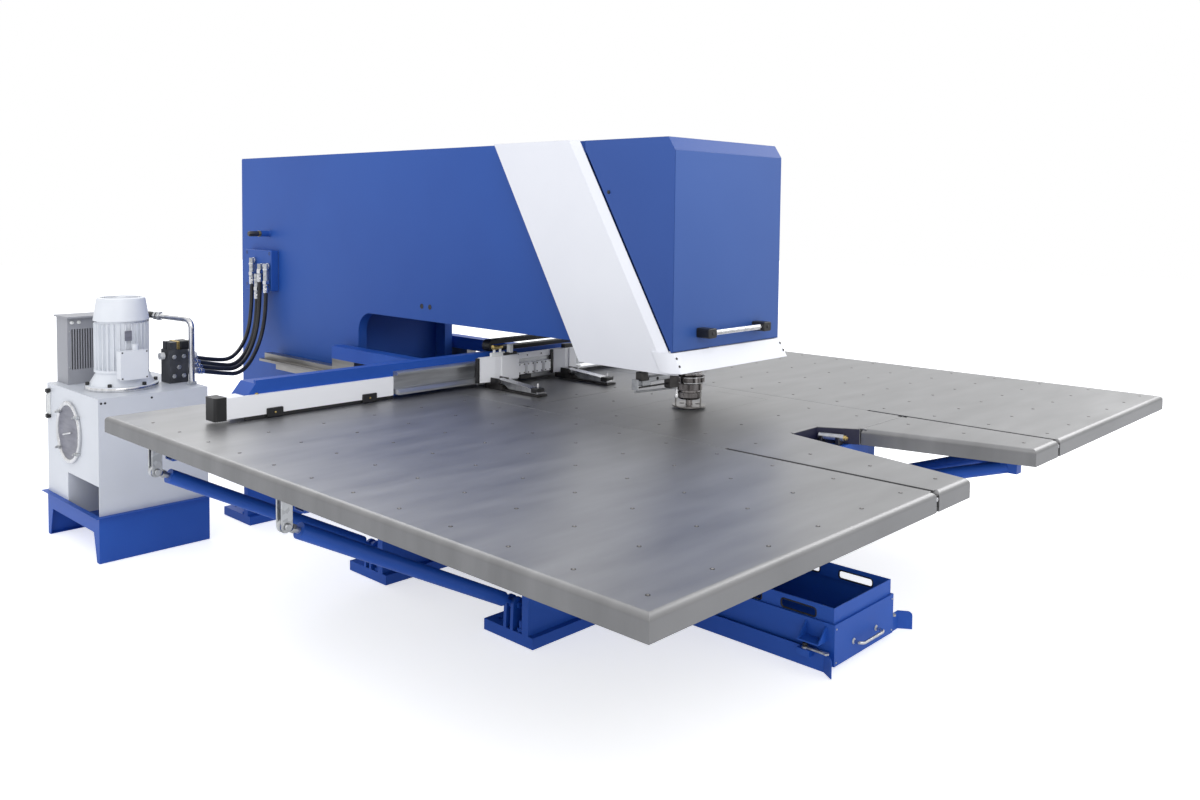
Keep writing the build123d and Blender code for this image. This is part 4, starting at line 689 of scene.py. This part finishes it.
# %% Lifting studs and plugs
stud_boss = turned([(24, 0), (24, 4), (20, 8), (20, 64), (18, 66)], 28)
stud_end = turned([(17, 60), (18, 84), (18, 146), (14, 154), (2, 154)], 28)
stud_ring = turned([(15, 70), (20.5, 70), (20.5, 82), (15, 82)], 28, loop=True)
stud_places = [((-363, 4906, 769), LEFT), ((363, 4906, 769), RIGHT)]
bosses, ends, rings = [[laid(part, *spot) for spot in stud_places]
                       for part in (stud_boss, stud_end, stud_ring)]
piece("stud_bosses", bosses, frame_blue, "frame")
piece("stud_ends", ends, dark_steel, "frame")
piece("stud_washers", rings, brass, "frame")
plate_plug = turned([(15, -2), (15, 1.2), (13, 2), (11, 1.4), (1, 1.4)], 20)
plate_plugs = [laid(plate_plug, (-363, behind, 396), LEFT) for behind in (3200, 3125)]
piece("plate_plugs", plate_plugs, black_plastic, "frame")

# %% [markdown]
# The door of the head is a flat sheet on the hood's front, a little lighter than the hood round
# it as painted light, since the front takes more light than the sides. The hood has one black
# screw on each side. Under it runs a flared skirt of folded sheet, whose slanted corners carry the
# line of the white bands on to its lower edge. The skirt is one outline, drawn at its lower and
# its upper edge and joined. It takes the place of the solid model's skirt.

# %% Door and skirt of the head
door = laid(slab(826, 889, 2.4, 5, 1.2), (0, 1317.4, 777), FRONT)
# Painted light: the door's front is lighter than the hood round it.
lit_door_face = finish_of("lit_door_face", (50, 86, 156), (60, 95, 165), (0.40, 0.48), scale=0.8,
                      grain=(0.10, 280, 0.0004), edge=0.003, shine=0.35)
piece("door_skin", [door], lit_door_face, "hood")
hood_screws = [laid(screw(9), (-415, 1709, 1038), LEFT), laid(screw(9), (415, 1709, 1038), RIGHT)]
piece("hood_screws", hood_screws, black_plastic, "hood")
skirt_line = np.array([(-444, 100), (-444, 45), (-417, 0), (417, 0), (444, 45), (444, 100),
                       (440, 100), (440, 46.5), (415, 4), (-415, 4), (-440, 46.5), (-440, 100)])
skirt_x, skirt_y = skirt_line.T
skirt_rings = [np.column_stack([skirt_x, skirt_y + behind, 0 * skirt_x + above])
               for behind, above in ((1262, 240), (1311, 327))]
skirt = piece("skirt_sheet", [rings_to_shape(skirt_rings)], band_white, "frame")
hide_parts("head_skirt")
skirt_out = (0, -87, 49)
skirt_spots = [(-407, 1297.8, 304), (-409, 1279.2, 271), (407, 1297.8, 304), (409, 1279.2, 271)]
skirt_screws = [laid(screw(6), spot, skirt_out) for spot in skirt_spots]
piece("skirt_screws", skirt_screws, dark_steel, "frame")

# %% [markdown]
# The pull handle is a bright tube held by two moulded black ends. The ends of the solid model
# are plain blocks, so each gets a rounded moulding that wraps it.

# %% Handle ends
grip = laid(slab(62, 44, 74, 9, 3), (0, 1317.5, 405), FRONT)
grip_cap = laid(turned([(8, 0), (8, 1.5), (6, 2.5), (1, 2.5)], 14), (0, 1243.5, 405), FRONT)
grips = [copies(shape, across_at(-216, 216)) for shape in (grip, grip_cap)]
piece("handle_ends", grips, black_plastic, "hood")

# %% [markdown]
# The hoses leave the frame at a thick blue plate. Each fitting is a turned and milled steel
# piece: a nut at the plate, a nut under the elbow, and a ribbed sleeve that is pressed over the
# hose. At the pump end the same sleeve and two nuts sit along the hose's own direction.

# %% Manifold and hose ends
manifold = laid(slab(354, 274, 52.5, 6, 3), (-363, 4965, 520), LEFT)
piece("manifold_plate", [manifold], frame_blue, "frame")
socket = turned([(11, -1), (11, 0.8), (8, 1), (7.5, -0.5), (1, -0.5)], 16)
socket_spots = [(-415.5, y, z) for y in (4813, 5117) for z in (418, 636)]
socket_screws = [laid(socket, spot, LEFT) for spot in socket_spots]
piece("manifold_screws", socket_screws, dark_steel, "frame")
sleeve = turned([(14, -6), (18, -4), (18, 12), (16.5, 14), (18, 16), (18, 26), (16.5, 28),
                 (18, 30), (17, 44), (14.5, 46)], 24)
collar = turned([(17, 0), (20, 2), (20, 12), (17, 14)], 20)
frame_ends = []
for (drop_y, drop_z), top in zip(drops, (585, 479, 549, 553)):
    frame_ends.append(laid(sleeve, (DROP_X, drop_y, drop_z), DOWN))
    frame_ends.append(laid(nut(23, 24), (DROP_X, drop_y, drop_z + 14)))
    frame_ends.append(laid(nut(22, 14), (-416, drop_y, top), LEFT))
    frame_ends.append(laid(collar, (DROP_X, drop_y, top - 30)))
piece("frame_hose_ends", frame_ends, bright_steel, "frame")
pump_ends = []
hose_way = np.array(HOSE_WAY) / np.linalg.norm(HOSE_WAY)
for elbow_y, elbow_z in elbows:
    corner = np.array([ELBOW_X, elbow_y, elbow_z])
    pump_ends.append(laid(sleeve, corner + hose_way * HOSE_START, hose_way))
    pump_ends.append(laid(nut(21, 22), corner + hose_way * 24, hose_way))
    pump_ends.append(laid(nut(21, 14), (-1254, elbow_y, elbow_z), RIGHT))
piece("pump_hose_ends", pump_ends, bright_steel, "frame")

# %% [markdown]
# A level gauge stands on the tank's left end: a white glass tube between two black blocks, with
# the line of the oil in it.

# %% Level gauge
GAUGE_SPOT = (-1841, 4690, -173)
tube = [laid(slab(26, 150, 10, 5, 2), GAUGE_SPOT, LEFT),
        laid(slab(14, 118, 20, 6, 3), GAUGE_SPOT, LEFT)]
piece("gauge_tube", tube, white_plastic, "frame")
gauge_ends = copies(laid(slab(32, 24, 22, 6, 3), GAUGE_SPOT, LEFT), [(0, 0, -72), (0, 0, 72)])
piece("gauge_ends", [gauge_ends], black_plastic, "frame")
oil_line = laid(slab(5, 96, 21.5, 1.5, 0.6), GAUGE_SPOT, LEFT)
piece("gauge_oil", [oil_line], dull_grey, "frame")

# %% [markdown]
# The cleaning cover beside the gauge is a shallow pan in a bright clamping ring, held by four
# clamps, with a bar across it. The plain disc of the solid model is replaced by the pan.

# %% Cleaning cover
COVER_SPOT = (-1841, 4392, -294)
CLAMP_CIRCLE = 162
pan_line = [(150, -1), (150, 7), (140, 7), (132, 3), (70, 3), (60, 5), (2, 5)]
pan = laid(turned(pan_line, 64), COVER_SPOT, LEFT)
cover_pan = piece("cover_pan", [pan], dull_grey, "frame")
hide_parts("cleaning_cover")
ring_line = [(146, 0), (170, 0), (172, 4), (171, 12), (166, 16), (154, 16), (148, 12)]
ring = laid(turned(ring_line, 72, loop=True), COVER_SPOT, LEFT)
piece("cover_ring", [ring], bright_steel, "frame")
clamp_turn = np.radians([38, 142, 218, 322])
clamp_ways = np.column_stack([0 * clamp_turn, -np.cos(clamp_turn), np.sin(clamp_turn)])
clamp_spots = np.array(COVER_SPOT) + CLAMP_CIRCLE * clamp_ways
cover_clamp = laid(slab(40, 16, 22, 4, 2), (0, 0, 0), LEFT)
cover_bolt = laid(turned([(6, 20), (6, 34), (4, 36)], 14), (0, 0, 0), LEFT)
cover_clamps = [copies(cover_clamp, clamp_spots), copies(cover_bolt, clamp_spots)]
piece("cover_clamps", cover_clamps, zinc, "frame")
grab = rounded([(-1842, 4436, -310), (-1866, 4436, -310), (-1866, 4348, -290),
                (-1842, 4348, -290)])
piece("cover_grab", [bar(grab, 5)], bright_steel, "frame")

# %% [markdown]
# The pump unit. The rim of the bell is machined bright and held by black socket screws. The fan
# cowl is a pressed cone with a round shoulder and a wire grille: one closed line turned on the
# lathe, then thin rings and eight spokes over the opening. It replaces the plain cowl.

# %% Bell and fan cowl
MOTOR_SPOT = np.array([-1600, 4290, 0])
rim_line = [(180, -59.6), (187.5, -59.6), (188, -57), (188, -42), (186.5, -38), (180, -38)]
piece("bell_rim", [laid(turned(rim_line, 80, loop=True), MOTOR_SPOT)], bright_steel, "frame")
cowl_line = [(118, 318), (143, 318), (143, 325), (141, 331), (126, 431), (122, 439), (112, 443.5),
             (104, 443.5), (104, 440), (111, 440), (118, 436), (122, 430), (137.5, 330),
             (137.5, 321), (118, 321)]
grille = [turned([(r - 2, 440), (r + 2, 440), (r + 2, 443), (r - 2, 443)], 48, loop=True)
          for r in range(34, 104, 11)]
spoke = slab(5, 2.4, 84, 1, 0.5)
spoke_ways = [(math.cos(turn), math.sin(turn), 0) for turn in np.arange(8) * np.pi / 4]
hub = np.array([0, 0, 441.2])
spokes = [laid(spoke, np.array(way) * 22 + hub, way) for way in spoke_ways]
cowl_cap = turned([(26, 439), (26, 443), (23, 443.8), (1, 443.8)], 32)
cowl_parts = [turned(cowl_line, 80, loop=True), *grille, *spokes, cowl_cap]
cowl = piece("fan_cowl", [laid(shape, MOTOR_SPOT) for shape in cowl_parts], motor_grey, "frame")
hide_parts("motor_cowl")
bell_turn = np.radians(48 + 60 * np.arange(6))
bell_ways = [175 * np.cos(bell_turn), 175 * np.sin(bell_turn), 0 * bell_turn - 33]
bell_screw = turned([(10.5, 0), (10.5, 15), (9, 17), (6, 17), (5.5, 10), (1, 10)], 16)
bell_screws = copies(bell_screw, MOTOR_SPOT + np.column_stack(bell_ways))
piece("bell_screws", [bell_screws], black_plastic, "frame")

# %% [markdown]
# The motor carries a small bare plate, and its terminal box has four lid screws. A black sheet
# stands behind the cooler's gaps, so they are dark inside. Two white ports carry its
# oil, and three plugs close the holes of the tank's front.

# %% Motor, cooler and tank fittings
bare_plate = laid(slab(38, 54, 4, 3, 1), (-1620, 4150, 241), FRONT)
piece("motor_plate", [bare_plate], dull_grey, "frame")
lid_screws = [laid(screw(4.5), (x, 4077, z), FRONT) for x in (-1681, -1551) for z in (19, 159)]
piece("terminal_screws", lid_screws, dark_steel, "frame")
gap_backing = laid(slab(170, 232, 1.4, 1, 0.3), (-1682, 4571.9, 137), FRONT)
piece("cooler_gap_backing", [gap_backing], black_plastic, "frame")
port = turned([(10, 0), (10, 8), (7, 9), (7, 18), (4, 19), (4, 12), (0.5, 12)], 20)
ports = copies(laid(port, (0, 4560, 0), FRONT), [(-1765, 0, 290), (-1728, 0, 290)])
piece("cooler_ports", [ports], white_plastic, "frame")
cooler_screws = [laid(screw(5), (x, 4560, z), FRONT) for x in (-1777, -1592) for z in (36, 239)]
piece("cooler_screws", cooler_screws, zinc, "frame")
tank_plug = turned([(6, 0), (6, 1.5), (3, 1.6), (2.5, 0.4), (0.5, 0.4)], 14)
tank_plugs = [laid(tank_plug, (x, 3994, -84), FRONT) for x in (-1826, -1806, -1562)]
piece("tank_plugs", tank_plugs, black_plastic, "frame")

# %% [markdown]
# Oil comes back through a bright bent pipe. A zinc nut joins it to a black elbow, and a black
# riser drops from there to the tank. The riser is a bar along a path with its corners cut.

# %% Return pipe
PIPE_RUN = np.array([-115, 340, 14])
pipe_way = PIPE_RUN / np.linalg.norm(PIPE_RUN)
joint = np.array([-1285, 4110, 308]) + PIPE_RUN * 0.66
pipe_nuts = [laid(nut(26, 20), joint, pipe_way), laid(nut(24, 16), joint + pipe_way * 30, pipe_way),
             laid(nut(28, 18), (-1285, 4110, -60))]
piece("pipe_nuts", pipe_nuts, zinc, "frame")
riser = rounded([(-1368, 4355, 320), (-1400, 4450, 323), (-1400, 4450, 300), (-1400, 4450, -60)])
riser_foot = turned([(30, 0), (30, 10), (24, 14), (24, 40), (20, 44)], 24)
risers = [bar(riser, 19, 18), laid(riser_foot, (-1400, 4450, -60))]
piece("oil_riser", risers, black_plastic, "frame")

# %% [markdown]
# Two solenoid valves lie across the valve block, each with a brass collar, a black coil and a
# round nut on its end. Below them are a small blue valve with a white cap and five port plugs.

# %% Valves
valve_rows = [(0, 4243, 0), (0, 4297, 0)]
coil = laid(slab(47, 50, 58, 8, 4), (-1298, 0, 152.5), RIGHT)
coil_line = [(11, 0), (12, 2), (12, 12), (9, 14), (2, 14)]
coil_end = laid(turned(coil_line, 18), (-1241, 0, 152.5), RIGHT)
coils = [copies(coil, valve_rows), copies(coil_end, valve_rows)]
piece("valve_coils", coils, black_plastic, "frame")
collar = laid(slab(50, 48, 18, 6, 3), (-1320, 0, 154), RIGHT)
piece("valve_collars", [copies(collar, valve_rows)], brass, "frame")
port_plug = turned([(13, 0), (13, 4), (11, 5), (6, 5), (5.5, 1), (1, 1)], 6)
port_spots = [(-1338, 90), (-1282, 90), (-1310, 30), (-1338, -20), (-1282, -20)]
port_plugs = [laid(port_plug, (x, 4215, z), FRONT) for x, z in port_spots]
piece("valve_ports", port_plugs, zinc, "frame")
blue_valve = laid(slab(46, 40, 34, 7, 3), (-1255, 4232, 92), RIGHT)
piece("blue_valve", [blue_valve], deep_blue, "frame")
cap_line = [(16, 0), (18, 3), (18, 16), (14, 20), (3, 20)]
white_cap = laid(turned(cap_line, 24), (-1221, 4232, 92), RIGHT)
piece("valve_cap", [white_cap], white_plastic, "frame")

# %% [markdown]
# The X beam. Black strips hang under the white covers: partly rubber wipers and partly a painted
# shadow of the gap under them. Black clips hold the covers, and each clip has one screw. A domed
# button stands on top of each cover.

# %% Beam trim
# The black strips are partly rubber wipers and partly a painted shadow of the gap under the covers.
wiper_and_shadow = laid(slab(788, 8, 17, 2, 1), (0, 2706, 2))
wipers_and_shadow = copies(wiper_and_shadow, across_at(-1306, 1306))
piece("cover_wipers_and_shadow", [wipers_and_shadow], black_plastic, "beam")
clip_places = across_at(-1560, -1055, 1055, 1560)
clips = copies(laid(slab(80, 42, 11, 4, 2), (0, 2699, 25), FRONT), clip_places)
piece("cover_clips", [clips], black_plastic, "beam")
clip_screws = copies(laid(screw(5), (0, 2688, 25), FRONT), clip_places)
piece("clip_screws", [clip_screws], brass, "beam")
buttons = copies(laid(screw(9), (0, 2712, 113)), across_at(-1640, 1640))
piece("cover_buttons", [buttons], brass, "beam")

# %% [markdown]
# The carriage stands between the white covers. Its boxes get thin raised panels, as folded sheet
# covers have, and its edges get black strips with small screws.

# %% Carriage panels and strips
panels = [laid(slab(126, 128, 7, 5, 2), (-221, 2605, 99), FRONT),
          laid(slab(58, 128, 7, 5, 2), (255, 2605, 99), FRONT),
          laid(slab(288, 34, 9, 3, 2), (-16, 2641, 149), FRONT)]
piece("carriage_panels", panels, lit_cover_white, "carriage")
edge_strip = laid(slab(16, 132, 20, 3, 1.5), (0, 2641, 98), FRONT)
sensor = laid(slab(80, 24, 26, 4, 2), (-92, 2641, 34), FRONT)
top_boxes = [laid(slab(100, 24, 14, 4, 2), (-212, 2622, 166)),
             laid(slab(70, 30, 22, 4, 2), (232, 2622, 166))]
switch = laid(slab(44, 30, 30, 5, 2), (316, 2622, 6))
black_bits = [copies(edge_strip, across_at(-426, 114, -148)), sensor, *top_boxes, switch]
piece("carriage_black_trim", black_bits, black_plastic, "carriage")
small_screw = laid(screw(4), (0, 0, 0), FRONT)
link_spots = [(x + dx, 2612, z) for x in (-125, -60, 5, 70) for dx in (-17, 17) for z in (57, 103)]
strip_spots = [(x, 2621, z) for x in (-426, 114) for z in (50, 146)]
strip_spots += [(-68, 2632, 149), (37, 2632, 149)]
carriage_screws = [copies(small_screw, link_spots), copies(small_screw, strip_spots)]
piece("carriage_screws", carriage_screws, dark_steel, "carriage")

# %% [markdown]
# Two posts with a cross bar and two white blocks stand on the boxes, and one yellow plug lies on
# the posts. They are small, so blocks with rounded edges and one turned shape are enough.

# %% Connectors on the carriage
connectors = [laid(slab(10, 12, 40, 2, 1), (-318, 2622, 166)),
              laid(slab(10, 12, 40, 2, 1), (-276, 2622, 166)),
              laid(slab(96, 16, 20, 3, 1.5), (-296, 2622, 166)),
              laid(slab(26, 26, 46, 4, 2), (-206, 2622, 176)),
              laid(slab(30, 24, 20, 4, 2), (320, 2622, 36))]
piece("carriage_connectors", connectors, white_plastic, "carriage")
plug_line = [(9, 0), (13, 3), (13, 30), (11, 32), (11, 66), (8, 70)]
yellow_plug = laid(turned(plug_line, 20), (-332, 2622, 214), RIGHT)
piece("carriage_plug", [yellow_plug], brass, "carriage")

# %% [markdown]
# The two sheet clamps end in hard black tips, each with a bright pin. They belong to the
# jaws that swing, so they ride on those.

# %% Clamp tips
clamp_places = across_at(-330, 190)
tips = copies(laid(slab(58, 46, 24, 5, 2), (0, 2267, 17)), clamp_places)
piece("clamp_tips", [tips], black_plastic, "jaws")
pins = copies(laid(turned([(4, 0), (4, 22), (3, 24)], 12), (0, 2267, 40)), clamp_places)
piece("clamp_tip_pins", [pins], bright_steel, "jaws")

# %% [markdown]
# Round the tool: three bright bands run round the indexing ring and ride on it. To its left
# thin rods, a plate and a dark block carry the drive that turns it, in the place of the plain
# arm of the solid model, and a bright post stands between the block and the tool.

# %% Tool drive
TOOL_SPOT = np.array([0, 1545, 0])
bands = [turned([(r - 4, z), (r + 0.8, z), (r + 0.8, z + 3.2), (r - 4, z + 3.2)], 48, loop=True)
         for r, z in ((74, 127), (74, 153), (62, 172))]
bands = [laid(shape, TOOL_SPOT) for shape in bands]
piece("ring_bands", bands, bright_steel, "indexer")
drive = [laid(slab(66, 44, 72, 8, 3), (-137, 1545, 116)),
         laid(slab(46, 40, 40, 4, 2), (-352, 1545, 172)),
         bar([(-398, 1545, 141), (-165, 1545, 137)], 4)]
arm_drive = piece("arm_drive", drive, dark_steel, "frame")
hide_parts("tool_arm")
arm_plates = [laid(slab(152, 36, 24, 4, 2), (-244, 1545, 162)),
              laid(slab(56, 34, 26, 5, 2), (-336, 1545, 147)),
              laid(slab(5, 40, 50, 2, 1), (-399, 1545, 132)),
              bar([(-402, 1545, 123), (-112, 1545, 110)], 4.5)]
piece("arm_plates", arm_plates, aluminium, "frame")
hole_line = [(8, 0), (8, 1.2), (6, 1.4), (5.5, 0.6), (1, 0.6)]
# Painted shade: a black disc stands where the plate has a hole.
arm_hole_shade = laid(turned(hole_line, 16), (-262, 1527, 174), FRONT)
piece("arm_hole_shade", [arm_hole_shade], black_plastic, "frame")
post_line = [(7, 0), (9, 2), (9, 22), (6, 26), (6, 58), (8, 62)]
tool_post = laid(turned(post_line, 20), (-98, 1545, 58))
piece("tool_post", [tool_post], bright_steel, "frame")

# %% [markdown]
# A black rubber edging is pushed over the sheet round each hand hole of the drawer, so that it
# does not cut. Its path is a rectangle with round corners: a slab's outline, stood on edge. The
# two latches are held down by black knobs on their pins. The bin's front has four rivets, and
# its handle ends in two turned feet.

# %% Drawer trim
HOLE_HALF_Y, HOLE_HALF_Z, HOLE_CORNER = 86, 19, 14
hole_turn = np.radians((np.arange(4)[:, None] * 90 + np.linspace(0, 90, 6)).reshape(-1))
round_y, round_z = HOLE_CORNER * np.cos(hole_turn), HOLE_CORNER * np.sin(hole_turn)
hole_y = np.repeat([1, -1, -1, 1], 6) * (HOLE_HALF_Y - HOLE_CORNER) + round_y
hole_z = np.repeat([1, 1, -1, -1], 6) * (HOLE_HALF_Z - HOLE_CORNER) + round_z
edging = bar(np.column_stack([0 * hole_y, hole_y, hole_z]), 4.2, 8, closed=True)
edging_spots = [(side * 238, y, -706) for side in (-1, 1) for y in (755, 1026)]
edgings = copies(edging, edging_spots)
piece("hand_hole_edging", [edgings], hose_rubber, "drawer")
knob = turned([(6.1, 0), (10, 1), (12, 4), (12, 12), (9, 16), (2, 17)], 20)
knobs = copies(knob, [(-286, 690, -837.5), (286, 690, -837.5)])
piece("latch_knobs", [knobs], black_plastic, "frame")
rivet_spots = [(x, 573.9, z) for x in (-236, 236) for z in (-750, -890)]
rivets = [laid(screw(4), spot, FRONT) for spot in rivet_spots]
handle_foot = turned([(13, 0), (13, 2), (9, 5), (7.5, 6)], 20)
handle_feet = [laid(handle_foot, (x, 574, -840), FRONT) for x in (-95, 95)]
piece("drawer_fastenings", rivets + handle_feet, zinc, "drawer")

# %% [markdown]
# The machine stands on levelling screws: one with a lock nut at each end of every cross foot,
# painted over with the foot.

# %% Levelling screws
foot_spots = np.array([(x, y, -880) for x in (-945, 945) for y in (1706, 2780, 4150)])
level_screw = turned([(10, 0), (10, 46), (8, 48), (5, 48), (4.5, 40), (1, 40)], 18)
level_screws = [copies(nut(19, 15), foot_spots), copies(level_screw, foot_spots)]
piece("levelling_screws", level_screws, deep_blue, "frame")

# %% [markdown]
# In the front opening a small cylinder lies on the lower jaw: a bright bar in two dark saddles,
# with a brass nose that points to the front.

# %% Cylinder in the opening
piece("jaw_cylinder", [bar([(68, 860, -38), (96, 752, -38)], 15, 20)], aluminium, "frame")
saddles = copies(slab(38, 20, 36, 4, 2), [(71, 846, -72), (90, 772, -72)])
piece("jaw_saddles", [saddles], dark_steel, "frame")
nose_line = [(11, 0), (11, 12), (7, 14), (7, 20)]
cylinder_nose = laid(turned(nose_line, 18), (95.5, 754, -38), (28, -108, 0))
piece("jaw_cylinder_nose", [cylinder_nose], brass, "frame")

# %% [markdown]
# Each strut hangs in a galvanised bracket: two straps with round noses, a pin between them, and a
# ringed eye with its nut. At the foot, two blue cheeks with a round nose hold the lower pin. A
# cheek's outline is an arc closed by two points on the foot.


# %% Shapes for the strut ends
def pin(radius, length):
    """A pin from 0 to a length, with a head six thick at each end and one small end face."""
    return turned([(radius, 0), (radius, 6), (9, 7), (9, length - 9), (radius, length - 8),
                   (radius, length - 2), (11, length)], 18)


STRUT_RUN = np.array([1109, 0, 586])
strut_way = STRUT_RUN / np.linalg.norm(STRUT_RUN)
strap = laid(slab(44, 164, 8, 21, 1, steps=8), (0, 0, 0), FRONT)
bracket_head = slab(64, 66, 9, 5, 2)
top_pin = laid(pin(13, 64), (0, 0, 0), FRONT)
foot_pin = laid(pin(14, 82), (0, 0, 0), FRONT)
eye_line = [(20, -11), (26, -11), (26, 11), (20, 11)]
eye_ring = laid(turned(eye_line, 28, loop=True), (0, 0, 0), FRONT)
nose_turn = np.linspace(0, np.pi, 15)
cheek_line = np.column_stack([np.append(931 + 32 * np.cos(nose_turn), [841, 967]),
                              np.append(-775 + 32 * np.sin(nose_turn), [-880, -880])])
print("a cheek has", len(cheek_line), "corners")

# %% [markdown]
# There are four struts, two on each side, so one loop places everything. A cheek is its outline
# drawn at two depths and joined, and on the left the outline is mirrored and run backwards, so
# that its faces still point outwards. The brackets replace the plain mounts of the solid model.

# %% Strut brackets and clevises
brackets, clevises = [], []
for side, rib_y in ((-1, 1770), (-1, 2844), (1, 1770), (1, 2844)):
    top = np.array([side * 2040, rib_y, -189])
    inward = strut_way * (-side, 0, -1)
    brackets += [copies(strap, [top + (0, 21, 60), top + (0, -13, 60)]),
                 copies(bracket_head, top + (0, 0, 109)),
                 copies(top_pin, top + (0, 32, 0)), copies(eye_ring, top),
                 laid(nut(19, 14), top + inward * 30, inward),
                 laid(turned([(12, 0), (12, 26)], 16), top + inward * 42, inward)]
    outline = cheek_line if side > 0 else (cheek_line * (-1, 1))[::-1]
    across, above = outline.T
    for rear in (31, -13):
        rings = [np.column_stack([across, 0 * across + rib_y + depth, above])
                 for depth in (rear, rear - 18)]
        clevises.append(rings_to_shape(rings))
    clevises.append(copies(foot_pin, (side * 931, rib_y + 41, -775)))
mounts = piece("strut_brackets", brackets, zinc, "frame")
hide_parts("strut_mounts")
piece("strut_clevises", clevises, deep_blue, "frame")
